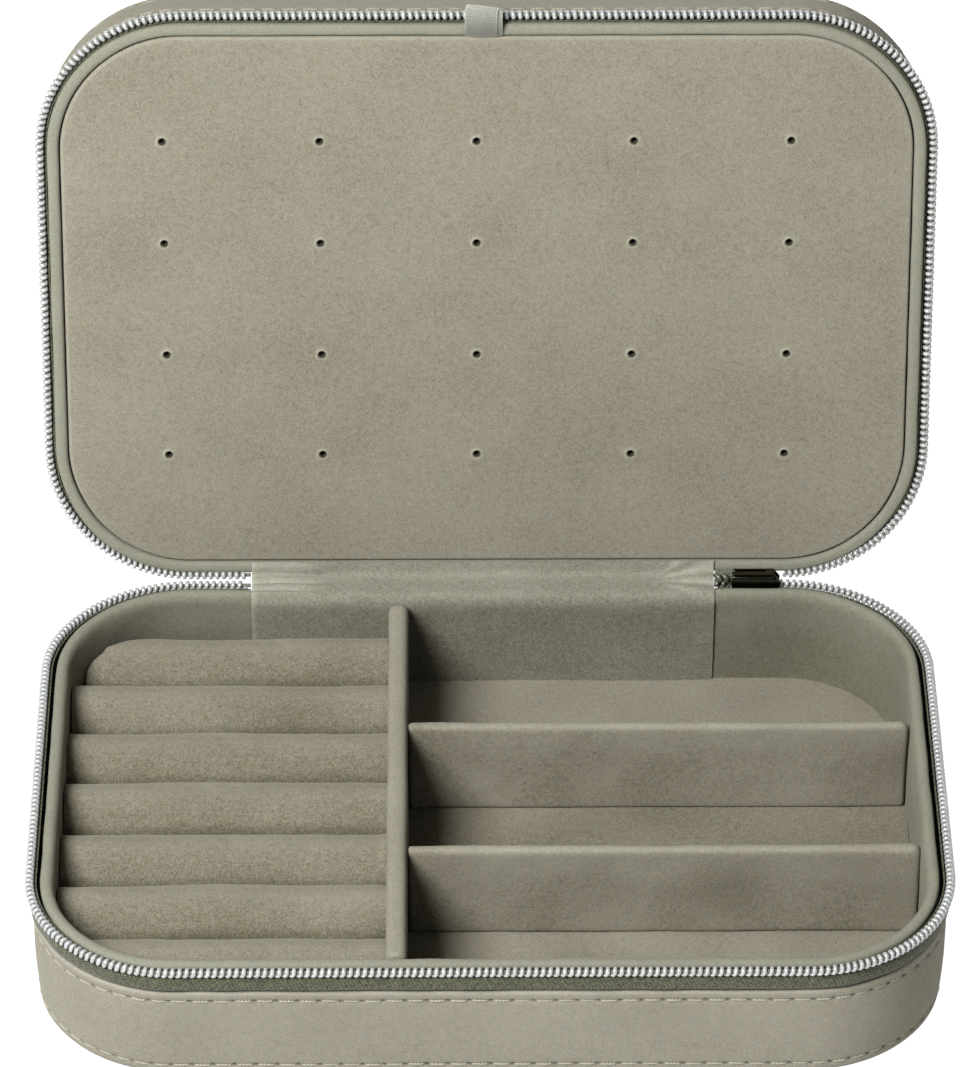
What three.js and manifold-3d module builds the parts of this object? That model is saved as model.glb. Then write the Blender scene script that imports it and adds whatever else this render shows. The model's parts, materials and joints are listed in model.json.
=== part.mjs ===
// Travel jewelry case, open, in millimetres with +Z up.
// The origin is the centre of the case's underside. +Y points to the hinge, +X to the right-hand side.
//
// The base and the lid share one rounded-rectangle outline, the outermost line of the zip coils.
// Rings are swept along it: a profile point is [inset, height], inset from that outline.
import * as THREE from 'three';
import { mergeVertices } from 'three/addons/utils/BufferGeometryUtils.js';
import Module from 'manifold-3d';

// ---- driving dimensions -------------------------------------------------------------------
const WIDTH = 210.5;            // outline of the zip coils, left to right
const DEPTH = 145.4;            // outline of the zip coils, front to back
const CORNER = 34.5;            // corner radius of that outline
const ZIP_HEIGHT = 31;          // height of the plane where the two coils meet
const LID_HEIGHT = 20;          // outside depth of the lid, from the zip plane
const OPEN_ANGLE = 101;         // degrees between the lid's open and closed positions
const GAP = 0.4;                // clearance between touching pieces

const WALL = { top: 0.8, taper: 1.0, thickness: 1.6, fold: 5.1, edge: 2.5, flange: 5.0, flangeThickness: 2.9 };
const BOARD = 2.6;              // bottom and top panels
const COIL = { inset: 0.1, width: 2.0, height: 1.7, fromPlane: 0.6 };
const TAPE = { inset: 2.85, lip: 1.2, thickness: 0.4, hem: 10, bend: 5.4, lipStart: 3.6, lipEnd: 2.5 };

const BASE_LINER = { outer: 3.5, foot: 3.9, inner: 7.4, top: ZIP_HEIGHT - 0.6 };
const LID_LINER = { outer: 3.3, foot: 3.9, inner: 5.5, edge: 0.6, depth: 16.7 };

const HINGE_LEFT = -56.3;       // sides of the fabric hinge
const HINGE_RIGHT = 54.5;
const COIL_LEFT = -56.6;        // left end of both coils, beside the fabric hinge
const COIL_RIGHT = 54.9;        // right end of the base coil
const LID_COIL_RIGHT = 82;      // right end of the lid coil, clear of the slider

const FLOOR_TOP = 5.0;
const FLOOR_THICKNESS = 2.0;
const ROLL_COUNT = 7;
const ROLL = { pitch: 18.44, radius: 9.0, crown: 24.3, right: -23.6, rearmost: 64.6 };
const MAIN_DIVIDER = { x: -21.0, thickness: 4.4, rear: 64.1, front: -64.8, top: 29.8, corner: 2, round: 1.5 };
const CROSS_DIVIDER = { thickness: 2.8, left: -18.4, right: 97.0, top: 29.3, round: 0.9 };
const CROSS_DIVIDER_FRONTS = { rear: 17.9, front: -27.2 };

const PANEL = { inset: 5.9, front: 1.2, pad: 1.7, backing: 0.8 };
const PIN_HOLE = { radius: 0.75, columns: 5, pitch: 36.6, shift: -2.3, rows: [40.8, 15.1, -13.5, -39.5] };
const TAB = { left: -5.1, right: 3.6, start: 139.9, end: 147.6, thickness: 0.5 };

const SLIDER = { left: 58.8, right: 70.4, plate: 0.5, bottom: 28.2, outerTop: 33.4, innerTop: 32.2 };
const BAIL = { left: 60.6, right: 68.6, radius: 0.4, standOff: 1.7, height: 29.6 };
const LINK = { halfWidth: 1.05, wire: 0.35, drop: 4.0 };
const PULLER = { length: 22, topWidth: 4.6, endWidth: 6.4, thickness: 0.7, hole: 1.3, rim: 1.2 };

const CORNER_STEPS = 10;

// ---- materials ------------------------------------------------------------------------------
const finish = (color, roughness, metalness = 0) => () =>
  new THREE.MeshStandardMaterial({ color, roughness, metalness });
const velvet = finish(0x969080, 0.95);
const paleVelvet = finish(0xa3a593, 0.95);
const tapeWeave = finish(0x5a5b4a, 0.9);
const silver = finish(0xc9cacb, 0.35, 0.6);
const gunmetal = finish(0x3c3d3a, 0.3, 0.9);
const satin = finish(0xb9bbad, 0.45);
const board = finish(0x77705f, 0.9);

// ---- solids from outlines and profiles --------------------------------------------------------

// Builds a closed geometry from vertices and triangles, with its faces pointing out.
function solid(vertices, triangles) {
  const a = new THREE.Vector3(), b = new THREE.Vector3(), c = new THREE.Vector3();
  let volume = 0;
  for (const [i, j, k] of triangles) {
    a.fromArray(vertices[i]);
    b.fromArray(vertices[j]);
    c.fromArray(vertices[k]);
    volume += a.dot(b.cross(c));
  }
  const faces = volume > 0 ? triangles : triangles.map(([i, j, k]) => [i, k, j]);
  const geometry = new THREE.BufferGeometry();
  geometry.setAttribute('position', new THREE.Float32BufferAttribute(vertices.flat(), 3));
  geometry.setIndex(faces.flat());
  return geometry;
}

// One quarter turn of the outline, as points at an inset, from angle start to angle end in degrees.
function cornerArc(signX, signY, inset, start, end) {
  const cx = signX * (WIDTH / 2 - CORNER), cy = signY * (DEPTH / 2 - CORNER);
  const radius = CORNER - inset;
  return Array.from({ length: CORNER_STEPS + 1 }, (_, i) => {
    const angle = THREE.MathUtils.degToRad(start + (end - start) * i / CORNER_STEPS);
    return [cx + radius * Math.cos(angle), cy + radius * Math.sin(angle)];
  });
}

// The whole outline at an inset, anticlockwise from the right-hand side.
function outline(inset) {
  return [
    ...cornerArc(1, 1, inset, 0, 90),
    ...cornerArc(-1, 1, inset, 90, 180),
    ...cornerArc(-1, -1, inset, 180, 270),
    ...cornerArc(1, -1, inset, 270, 360),
  ];
}

// The outline from x = left on the back edge, round the front, to x = right at the back.
function outlineRun(inset, left, right) {
  const straight = WIDTH / 2 - CORNER, back = DEPTH / 2 - inset;
  const reachesStraight = right < straight;
  const lastAngle = reachesStraight ? 90 : THREE.MathUtils.radToDeg(Math.acos((right - straight) / CORNER));
  return [
    [left, back],
    ...cornerArc(-1, 1, inset, 90, 180),
    ...cornerArc(-1, -1, inset, 180, 270),
    ...cornerArc(1, -1, inset, 270, 360),
    ...cornerArc(1, 1, inset, 0, lastAngle),
    ...(reachesStraight ? [[right, back]] : []),
  ];
}

// Sweeps a closed profile of [inset, height] points along paths(inset); open sweeps get end caps.
function sweep(profile, paths, closed) {
  const lines = profile.map(([inset]) => paths(inset));
  const steps = lines[0].length, sides = profile.length;
  const vertices = [], triangles = [];
  for (let s = 0; s < steps; s++) {
    for (let p = 0; p < sides; p++) vertices.push([...lines[p][s], profile[p][1]]);
  }
  for (let s = 0; s < (closed ? steps : steps - 1); s++) {
    const near = s * sides, far = ((s + 1) % steps) * sides;
    for (let p = 0; p < sides; p++) {
      const q = (p + 1) % sides;
      triangles.push([near + p, near + q, far + q], [near + p, far + q, far + p]);
    }
  }
  if (!closed) {
    const points = profile.map(([inset, height]) => new THREE.Vector2(inset, height));
    const anticlockwise = !THREE.ShapeUtils.isClockWise(points);
    const last = (steps - 1) * sides;
    for (const [i, j, k] of THREE.ShapeUtils.triangulateShape(points, [])) {
      triangles.push(anticlockwise ? [i, k, j] : [i, j, k]);
      triangles.push(anticlockwise ? [last + i, last + j, last + k] : [last + i, last + k, last + j]);
    }
  }
  return solid(vertices, triangles);
}

const ring = (profile) => sweep(profile, outline, true);
const run = (profile, left, right) => sweep(profile, (inset) => outlineRun(inset, left, right), false);

// A slab with the case's outline at an inset, between two heights, with optional round holes.
function slab(inset, bottom, top, holes = []) {
  const shape = new THREE.Shape(outline(inset).map(([x, y]) => new THREE.Vector2(x, y)));
  for (const [x, y] of holes) {
    shape.holes.push(new THREE.Path().absarc(x, y, PIN_HOLE.radius, 0, 2 * Math.PI, true));
  }
  const geometry = new THREE.ExtrudeGeometry(shape, { depth: top - bottom, bevelEnabled: false, curveSegments: 5 });
  return geometry.translate(0, 0, bottom);
}

// A strip of even thickness that follows [y, z] points, from x = left to x = right.
function strip(points, thickness, left, right) {
  const line = points.map(([y, z]) => new THREE.Vector2(y, z));
  const offset = (i) => {
    const before = line[Math.max(i - 1, 0)], after = line[Math.min(i + 1, line.length - 1)];
    const normal = new THREE.Vector2(before.y - after.y, after.x - before.x).normalize();
    return normal.multiplyScalar(thickness / 2);
  };
  const one = line.map((p, i) => p.clone().add(offset(i)));
  const other = line.map((p, i) => p.clone().sub(offset(i))).reverse();
  const geometry = new THREE.ExtrudeGeometry(new THREE.Shape([...one, ...other]), {
    depth: right - left, bevelEnabled: false,
  });
  return alongX(geometry, left);
}

// Turns a shape drawn in [y, z] and extruded along its own third axis so that it runs along +X.
function alongX(geometry, left) {
  const toRow = new THREE.Matrix4().makeBasis(
    new THREE.Vector3(0, 1, 0), new THREE.Vector3(0, 0, 1), new THREE.Vector3(1, 0, 0));
  return geometry.applyMatrix4(toRow).translate(left, 0, 0);
}

// ---- joins and cuts -----------------------------------------------------------------------------
const wasm = await Module();
wasm.setup();

function toManifold(geometry) {
  const bare = geometry.clone();
  bare.deleteAttribute('normal');
  bare.deleteAttribute('uv');
  const merged = mergeVertices(bare, 1e-4);
  return new wasm.Manifold(new wasm.Mesh({
    numProp: 3,
    vertProperties: new Float32Array(merged.attributes.position.array),
    triVerts: new Uint32Array(merged.index.array),
  }));
}

function fromManifold(manifold) {
  const mesh = manifold.getMesh();
  const geometry = new THREE.BufferGeometry();
  geometry.setAttribute('position', new THREE.BufferAttribute(mesh.vertProperties, 3));
  geometry.setIndex(new THREE.BufferAttribute(mesh.triVerts, 1));
  return geometry;
}

const union = (...geometries) => fromManifold(geometries.map(toManifold).reduce((a, b) => a.add(b)));

function box(min, max) {
  const size = max.map((v, i) => v - min[i]);
  return new THREE.BoxGeometry(...size).translate(...min.map((v, i) => v + size[i] / 2));
}

// ---- the scene graph ------------------------------------------------------------------------------
const jewelryCase = new THREE.Group();

// The lid and all it carries are modelled closed, from the hinge axis: y = 0 at the hinge and
// -DEPTH at the front, z = 0 on the zip plane and up into the lid. The group then opens them.
const lid = new THREE.Group();
lid.position.set(0, DEPTH / 2, ZIP_HEIGHT);
lid.rotation.x = -THREE.MathUtils.degToRad(OPEN_ANGLE);
jewelryCase.add(lid);
const toLid = (geometry) => geometry.translate(0, -DEPTH / 2, 0);

function add(group, name, geometry, material) {
  const mesh = new THREE.Mesh(geometry, material());
  mesh.name = name;
  group.add(mesh);
}

// The outer wall in heights above its outer face; the base stands as drawn and the lid is mirrored.
function wallProfile(height) {
  const fold = height - WALL.fold;
  const foot = WALL.top + WALL.taper;
  const arc = [0, 30, 60, 90].map((degrees) => {
    const angle = THREE.MathUtils.degToRad(degrees);
    return [foot + WALL.edge * (1 - Math.sin(angle)), WALL.edge * (1 - Math.cos(angle))];
  });
  return [
    ...arc,
    [WALL.top + 0.05, fold - 0.6],
    [WALL.top + 0.4, fold],
    [WALL.top + WALL.thickness - 0.4, fold],
    [WALL.top + WALL.thickness, fold - 0.5],
    [foot + WALL.thickness, WALL.flangeThickness],
    [WALL.flange, WALL.flangeThickness],
    [WALL.flange, 0],
  ];
}

// The zip tape and coil in depths from the zip plane.
const tapeProfile = [
  [TAPE.inset, TAPE.hem],
  [TAPE.inset, TAPE.bend],
  [TAPE.lip, TAPE.lipStart],
  [TAPE.lip, TAPE.lipEnd],
  [TAPE.lip + TAPE.thickness, TAPE.lipEnd],
  [TAPE.lip + TAPE.thickness, TAPE.lipStart - 0.2],
  [TAPE.inset + TAPE.thickness, TAPE.bend - 0.2],
  [TAPE.inset + TAPE.thickness, TAPE.hem],
];
const coilProfile = [
  [COIL.inset, COIL.fromPlane + COIL.height],
  [COIL.inset, COIL.fromPlane + 0.4],
  [COIL.inset + 0.4, COIL.fromPlane],
  [COIL.inset + COIL.width - 0.4, COIL.fromPlane],
  [COIL.inset + COIL.width, COIL.fromPlane + 0.4],
  [COIL.inset + COIL.width, COIL.fromPlane + COIL.height],
];
const belowZip = (profile) => profile.map(([inset, depth]) => [inset, ZIP_HEIGHT - depth]);

// ---- base shell and liner
add(jewelryCase, 'base_outer_wall', ring(wallProfile(ZIP_HEIGHT)), velvet);
add(jewelryCase, 'base_bottom_panel', slab(WALL.flange + 0.3, 0, BOARD), velvet);
add(jewelryCase, 'base_zip_tape', run(belowZip(tapeProfile), COIL_LEFT, COIL_RIGHT), tapeWeave);
add(jewelryCase, 'base_zip_coil', run(belowZip(coilProfile), COIL_LEFT, COIL_RIGHT), silver);
add(jewelryCase, 'base_inner_wall', ring([
  [BASE_LINER.foot, WALL.flangeThickness + GAP],
  [BASE_LINER.outer, 24],
  [BASE_LINER.outer, BASE_LINER.top - 0.8],
  [BASE_LINER.outer + 0.8, BASE_LINER.top - 0.1],
  [BASE_LINER.outer + 1.8, BASE_LINER.top],
  [BASE_LINER.inner - 1.2, BASE_LINER.top - 0.3],
  [BASE_LINER.inner - 0.4, BASE_LINER.top - 1.0],
  [BASE_LINER.inner, BASE_LINER.top - 2.2],
  [BASE_LINER.inner, WALL.flangeThickness + GAP],
]), paleVelvet);
add(jewelryCase, 'base_floor', slab(BASE_LINER.inner + 0.3, FLOOR_TOP - FLOOR_THICKNESS, FLOOR_TOP), velvet);

// ---- ring rolls, cut to the liner's outline
const rollWell = toManifold(slab(BASE_LINER.inner + 0.5, 0, ZIP_HEIGHT));
const ROLL_REAR_LIMIT = MAIN_DIVIDER.rear - 0.3;
for (let i = 0; i < ROLL_COUNT; i++) {
  const middle = ROLL.rearmost - ROLL.pitch * (i + 0.5);
  const shape = new THREE.Shape();
  shape.moveTo(middle - ROLL.radius, FLOOR_TOP + 0.3);
  shape.lineTo(middle + ROLL.radius, FLOOR_TOP + 0.3);
  shape.lineTo(middle + ROLL.radius, ROLL.crown - ROLL.radius);
  shape.absarc(middle, ROLL.crown - ROLL.radius, ROLL.radius, 0, Math.PI, false);
  const length = ROLL.right + WIDTH / 2;
  const bar = alongX(new THREE.ExtrudeGeometry(shape, {
    depth: length, bevelEnabled: false, curveSegments: 12,
  }), ROLL.right - length);
  const rear = toManifold(box([-WIDTH / 2, -DEPTH / 2, 0], [0, ROLL_REAR_LIMIT, ZIP_HEIGHT]));
  const cut = toManifold(bar).intersect(rollWell).intersect(rear);
  add(jewelryCase, `ring_roll_${i + 1}`, fromManifold(cut), velvet);
}

// ---- dividers, as boards with rounded edges
function roundedBoard(width, height, cornerRadius, thickness, edge) {
  const w = width - 2 * edge, h = height - 2 * edge, r = Math.max(cornerRadius - edge, 0.01);
  const shape = new THREE.Shape();
  shape.moveTo(0, 0);
  shape.lineTo(w, 0);
  shape.lineTo(w, h - r);
  shape.absarc(w - r, h - r, r, 0, Math.PI / 2, false);
  shape.lineTo(0, h);
  const geometry = new THREE.ExtrudeGeometry(shape, {
    depth: thickness - 2 * edge, bevelEnabled: true, bevelThickness: edge, bevelSize: edge,
    bevelSegments: 3, curveSegments: 6,
  });
  return geometry.translate(edge, edge, edge);
}

const boardBottom = FLOOR_TOP + 0.3;
const mainBoard = roundedBoard(
  MAIN_DIVIDER.rear - MAIN_DIVIDER.front, MAIN_DIVIDER.top - boardBottom,
  MAIN_DIVIDER.corner, MAIN_DIVIDER.thickness, MAIN_DIVIDER.round);
add(jewelryCase, 'main_divider', alongX(mainBoard, 0).translate(
  MAIN_DIVIDER.x - MAIN_DIVIDER.thickness / 2, MAIN_DIVIDER.front, boardBottom), paleVelvet);

for (const [place, front] of Object.entries(CROSS_DIVIDER_FRONTS)) {
  const crossBoard = roundedBoard(
    CROSS_DIVIDER.right - CROSS_DIVIDER.left, CROSS_DIVIDER.top - boardBottom,
    2, CROSS_DIVIDER.thickness, CROSS_DIVIDER.round);
  crossBoard.rotateX(Math.PI / 2);
  crossBoard.translate(CROSS_DIVIDER.left, front + CROSS_DIVIDER.thickness, boardBottom);
  add(jewelryCase, `cross_divider_${place}`, crossBoard, velvet);
}

// ---- lid shell and liner
add(lid, 'lid_outer_wall', toLid(ring(wallProfile(LID_HEIGHT).map(([inset, z]) => [inset, LID_HEIGHT - z]))), velvet);
add(lid, 'lid_top_panel', toLid(slab(WALL.flange + 0.3, LID_HEIGHT - BOARD, LID_HEIGHT)), velvet);
add(lid, 'lid_zip_tape', toLid(run(tapeProfile, COIL_LEFT, LID_COIL_RIGHT)), tapeWeave);
add(lid, 'lid_zip_coil', toLid(run(coilProfile, COIL_LEFT, LID_COIL_RIGHT)), silver);
add(lid, 'lid_inner_wall', toLid(ring([
  [LID_LINER.foot, LID_LINER.depth],
  [LID_LINER.foot, 8],
  [LID_LINER.outer, 5],
  [LID_LINER.outer, LID_LINER.edge + 0.5],
  [LID_LINER.outer + 0.5, LID_LINER.edge],
  [LID_LINER.inner - 0.4, LID_LINER.edge],
  [LID_LINER.inner, LID_LINER.edge + 0.4],
  [LID_LINER.inner, LID_LINER.depth],
])), paleVelvet);
add(lid, 'lid_lining', toLid(slab(LID_LINER.inner + 0.3, LID_LINER.depth - 0.8, LID_LINER.depth)), velvet);

// ---- earring panel: a pad and its backing, both pierced for the pins
const pinHoles = PIN_HOLE.rows.flatMap((row) => Array.from({ length: PIN_HOLE.columns }, (_, i) => [
  PIN_HOLE.shift + (i - (PIN_HOLE.columns - 1) / 2) * PIN_HOLE.pitch, -row,
]));
const padBack = PANEL.front + PANEL.pad;
const backingFront = padBack + 0.3, backingBack = backingFront + PANEL.backing;
add(lid, 'earring_panel', toLid(slab(PANEL.inset, PANEL.front, padBack, pinHoles)), velvet);
add(lid, 'earring_panel_backing', toLid(slab(PANEL.inset + 0.3, backingFront, backingBack, pinHoles)), board);

// The cloth hinge behind the panel's lower edge, glued to the backing and to the liner.
const clothWall = LID_LINER.inner + 0.7, clothFace = backingBack + 0.5;
add(lid, 'earring_panel_cloth_hinge', strip([
  [-14, clothFace], [-clothWall - 1.6, clothFace], [-clothWall - 0.4, clothFace + 0.4],
  [-clothWall, clothFace + 1.6], [-clothWall, 12],
], 0.4, -70, 70), velvet);

// ---- ribbon pull tab, from the panel's upper edge out over the coil
add(lid, 'pull_tab', box([TAB.left, -TAB.end, -TAB.thickness / 2], [TAB.right, -TAB.start, TAB.thickness / 2]), satin);

// ---- fabric hinge: the lining inside and the spine outside, from the base to the open lid
const opened = ([y, z]) => {
  const angle = -THREE.MathUtils.degToRad(OPEN_ANGLE);
  return [
    DEPTH / 2 + y * Math.cos(angle) - z * Math.sin(angle),
    ZIP_HEIGHT + y * Math.sin(angle) + z * Math.cos(angle),
  ];
};
const linerFace = DEPTH / 2 - BASE_LINER.inner;
add(jewelryCase, 'hinge_lining', strip([
  opened([-5.0, 0]), opened([-2.2, 0]),
  [DEPTH / 2 - 0.6, ZIP_HEIGHT + 0.3], [DEPTH / 2 - 2.2, ZIP_HEIGHT - 0.05], [linerFace + 1.2, ZIP_HEIGHT - 0.1],
  [linerFace - 0.2, ZIP_HEIGHT - 0.9], [linerFace - 0.6, ZIP_HEIGHT - 2.4], [linerFace - 0.6, FLOOR_TOP + 0.4],
], 0.5, HINGE_LEFT, HINGE_RIGHT), velvet);

const wallTop = DEPTH / 2 - WALL.top, spineOff = 0.75;
add(jewelryCase, 'hinge_spine', strip([
  [wallTop - 0.55 + spineOff, 12], [wallTop + spineOff, ZIP_HEIGHT - WALL.fold],
  [wallTop + spineOff + 0.8, ZIP_HEIGHT - 2.8], [wallTop + spineOff + 2.2, ZIP_HEIGHT - 1.2],
  opened([-WALL.top + spineOff, WALL.fold]), opened([-WALL.top - 0.6 + spineOff, 14]),
], 0.8, HINGE_LEFT, HINGE_RIGHT), velvet);

// ---- zip slider with its bail, link and puller, parked at the zip's right-hand end
const coilBack = DEPTH / 2, innerPlateBack = DEPTH / 2 - 2.45, outerPlateFront = DEPTH / 2 + 0.3;
const outerPlateBack = outerPlateFront + SLIDER.plate;
const innerPlateFront = innerPlateBack - SLIDER.plate;
const bailY = outerPlateBack + BAIL.standOff;
const bailLeg = (x) => new THREE.CylinderGeometry(BAIL.radius, BAIL.radius, BAIL.standOff + 0.3, 10)
  .translate(x, bailY - BAIL.standOff / 2 - 0.15, BAIL.height);
const bailBar = new THREE.CylinderGeometry(BAIL.radius, BAIL.radius, BAIL.right - BAIL.left + 2 * BAIL.radius, 10)
  .rotateZ(Math.PI / 2)
  .translate((BAIL.left + BAIL.right) / 2, bailY, BAIL.height);
add(jewelryCase, 'zip_slider', union(
  box([SLIDER.left, innerPlateFront, SLIDER.bottom], [SLIDER.right, innerPlateBack, SLIDER.innerTop]),
  box([SLIDER.left, outerPlateFront, SLIDER.bottom], [SLIDER.right, outerPlateBack, SLIDER.outerTop]),
  box([SLIDER.right - 3.6, innerPlateBack - 0.1, ZIP_HEIGHT - 0.2],
    [SLIDER.right - 1.2, outerPlateFront + 0.1, SLIDER.innerTop]),
  bailLeg(BAIL.left), bailLeg(BAIL.right), bailBar,
), gunmetal);

// The last stretch of the lid's coil that stays joined to the base's.
add(jewelryCase, 'zip_chain_start', box(
  [COIL_RIGHT, coilBack - COIL.inset - COIL.width, ZIP_HEIGHT - 0.2],
  [SLIDER.left - 0.3, coilBack - COIL.inset, ZIP_HEIGHT + 1.5]), silver);

const linkX = (BAIL.left + BAIL.right) / 2;
const linkTop = BAIL.height, linkBottom = linkTop - LINK.drop;

// A closed wire link in the plane across the bail: two half circles and two straight sides.
function wireLink() {
  const arcSteps = 8, sides = 8;
  const centres = [];
  for (const [start, z] of [[0, linkTop], [180, linkBottom]]) {
    for (let i = 0; i <= arcSteps; i++) {
      const angle = THREE.MathUtils.degToRad(start + 180 * i / arcSteps);
      centres.push({ angle, z });
    }
  }
  const vertices = [], triangles = [];
  for (const { angle, z } of centres) {
    for (let k = 0; k < sides; k++) {
      const turn = 2 * Math.PI * k / sides;
      const reach = LINK.halfWidth + LINK.wire * Math.cos(turn);
      vertices.push([linkX + LINK.wire * Math.sin(turn), bailY + reach * Math.cos(angle), z + reach * Math.sin(angle)]);
    }
  }
  for (let s = 0; s < centres.length; s++) {
    const near = s * sides, far = ((s + 1) % centres.length) * sides;
    for (let k = 0; k < sides; k++) {
      const m = (k + 1) % sides;
      triangles.push([near + k, near + m, far + m], [near + k, far + m, far + k]);
    }
  }
  return solid(vertices, triangles);
}
add(jewelryCase, 'zip_pull_link', wireLink(), gunmetal);

// The puller, a flat tongue that hangs from the link by its hole.
const pullerHoleZ = linkBottom - LINK.halfWidth - LINK.wire;
const pullerTop = pullerHoleZ + PULLER.hole + PULLER.rim;
const tongue = new THREE.Shape();
tongue.moveTo(-PULLER.endWidth / 2, pullerTop - PULLER.length + PULLER.endWidth / 2);
tongue.absarc(0, pullerTop - PULLER.length + PULLER.endWidth / 2, PULLER.endWidth / 2, Math.PI, 2 * Math.PI, false);
tongue.lineTo(PULLER.topWidth / 2, pullerTop - PULLER.topWidth / 2);
tongue.absarc(0, pullerTop - PULLER.topWidth / 2, PULLER.topWidth / 2, 0, Math.PI, false);
tongue.holes.push(new THREE.Path().absarc(0, pullerHoleZ, PULLER.hole, 0, 2 * Math.PI, true));
const tongueSolid = new THREE.ExtrudeGeometry(tongue, {
  depth: PULLER.thickness, bevelEnabled: false, curveSegments: 10,
});
tongueSolid.rotateX(Math.PI / 2);
tongueSolid.translate(linkX, bailY + PULLER.thickness / 2, 0);
add(jewelryCase, 'zip_puller', tongueSolid, gunmetal);

export default jewelryCase;
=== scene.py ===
"""Travel jewelry case, standing open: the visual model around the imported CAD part.

Lengths are in millimetres until a mesh is made. The base and the lid share one rounded outline, and
a point of a swept section is (inset from that outline, height). The lid is shaped closed, then opened.
"""

import json
import math
from contextlib import contextmanager

import bmesh
import bpy
import numpy as np
from mathutils import Matrix, Vector, geometry, noise


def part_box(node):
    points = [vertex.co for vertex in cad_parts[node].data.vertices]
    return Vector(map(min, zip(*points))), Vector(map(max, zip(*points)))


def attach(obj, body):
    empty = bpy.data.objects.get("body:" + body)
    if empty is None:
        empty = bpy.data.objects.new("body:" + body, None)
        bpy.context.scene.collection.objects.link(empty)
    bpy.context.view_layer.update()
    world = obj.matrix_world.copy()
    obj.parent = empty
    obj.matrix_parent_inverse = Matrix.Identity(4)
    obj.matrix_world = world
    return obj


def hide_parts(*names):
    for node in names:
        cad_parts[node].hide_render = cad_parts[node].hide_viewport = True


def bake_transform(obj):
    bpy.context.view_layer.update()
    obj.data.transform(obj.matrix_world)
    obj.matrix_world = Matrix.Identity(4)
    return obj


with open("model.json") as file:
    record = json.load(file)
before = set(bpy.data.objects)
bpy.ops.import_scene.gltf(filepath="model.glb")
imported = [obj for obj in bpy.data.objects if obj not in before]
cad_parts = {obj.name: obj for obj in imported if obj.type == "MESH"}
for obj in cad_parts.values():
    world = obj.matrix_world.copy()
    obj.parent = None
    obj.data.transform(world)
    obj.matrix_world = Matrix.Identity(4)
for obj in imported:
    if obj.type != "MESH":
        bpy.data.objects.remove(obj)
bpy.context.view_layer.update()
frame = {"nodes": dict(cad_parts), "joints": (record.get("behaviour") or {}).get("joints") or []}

MM = 0.001
TURN = 2 * math.pi
joints = {j["name"]: j for j in frame["joints"]}
scene = bpy.context.scene


def span(node):
    """Lowest and highest corner of a CAD node, in millimetres."""
    low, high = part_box(node)
    return np.array(low) / MM, np.array(high) / MM


# ---- the frame's dimensions
coil_low, coil_high = span("base_zip_coil")
COIL_CLEAR = 0.1  # the CAD coil stands this far inside the outline
HALF_X = coil_high[0] + COIL_CLEAR
HALF_Y = COIL_CLEAR - coil_low[1]
CORNER = 34.5
HINGE_Y, ZIP = (c / MM for c in joints["lid_hinge"]["pos_m"][1:])
OPEN_DEG = joints["lid_hinge"]["range_deg"][0]
LID_HEIGHT = 20.0
WALL_FOLD = 5.8  # from the zip plane to a wall's folded edge
ZIP_RISE, ZIP_DROP = 1.55, 0.9  # the coils mesh this far above the hinge's height, and less at the back

OPENED = (Matrix.Translation((0, HINGE_Y * MM, ZIP * MM)) @ Matrix.Rotation(math.radians(OPEN_DEG), 4, "X")
          @ Matrix.Translation((0, -HINGE_Y * MM, -ZIP * MM)))

STRAIGHT_X, STRAIGHT_Y, QUARTER = HALF_X - CORNER, HALF_Y - CORNER, CORNER * math.pi / 2
LENGTH = 4 * (STRAIGHT_X + STRAIGHT_Y + QUARTER)


# ---- the outline
SIDES = (2 * STRAIGHT_X, QUARTER, 2 * STRAIGHT_Y, QUARTER)
STOPS = np.cumsum([0, STRAIGHT_X, *SIDES[1:], *SIDES, STRAIGHT_X])


def outline_at(s):
    """Points of the outline and its outward normals, at distances clockwise from the middle of the back."""
    s = np.atleast_1d(np.asarray(s, float)) % LENGTH
    turned = np.interp(s, STOPS, [0, 0, 1, 1, 2, 2, 3, 3, 4, 4])
    normal = np.stack([np.sin(turned * math.pi / 2), np.cos(turned * math.pi / 2)], -1)
    centre_x = STRAIGHT_X * np.interp(s, STOPS, [0, 1, 1, 1, 1, -1, -1, -1, -1, 0])
    centre_y = STRAIGHT_Y * np.interp(s, STOPS, [1, 1, 1, -1, -1, -1, -1, 1, 1, 1])
    return np.stack([centre_x, centre_y], -1) + CORNER * normal, normal


def depth_inside(x, y, inset):
    """How far points lie inside the outline at an inset."""
    r = CORNER - inset
    qx, qy = np.abs(x) - STRAIGHT_X, np.abs(y) - STRAIGHT_Y
    return r - np.hypot(np.maximum(qx, 0), np.maximum(qy, 0)) - np.minimum(np.maximum(qx, qy), 0)


# ---- meshes
@contextmanager
def edited(mesh):
    """A mesh opened for editing, and written back afterwards."""
    bm = bmesh.new()
    bm.from_mesh(mesh)
    yield bm
    bm.to_mesh(mesh)
    bm.free()


def piece(name, co, faces, material, uv=None, place=None, sharp=35, tone=None):
    """A mesh object from points in millimetres. tone lightens the colour above 0 and darkens it below 0: the
    pile's own variation, painted highlights and painted shade.
    """
    mesh = bpy.data.meshes.new(name)
    mesh.from_pydata((np.asarray(co, float) * MM).tolist(), [], [list(map(int, f)) for f in faces])
    if uv is not None:
        mesh.uv_layers.new(name="UVMap").data.foreach_set("uv", np.asarray(uv, np.float32).ravel())
    if tone is not None:
        mesh.attributes.new("tone", "FLOAT", "POINT").data.foreach_set("value", np.asarray(tone, np.float32))
    if place is not None:
        mesh.transform(place)
    with edited(mesh) as bm:
        bmesh.ops.recalc_face_normals(bm, faces=bm.faces)
    return finished(name, mesh, material, sharp)


def linked(name, data):
    obj = bpy.data.objects.new(name, data)
    scene.collection.objects.link(obj)
    return obj


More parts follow.
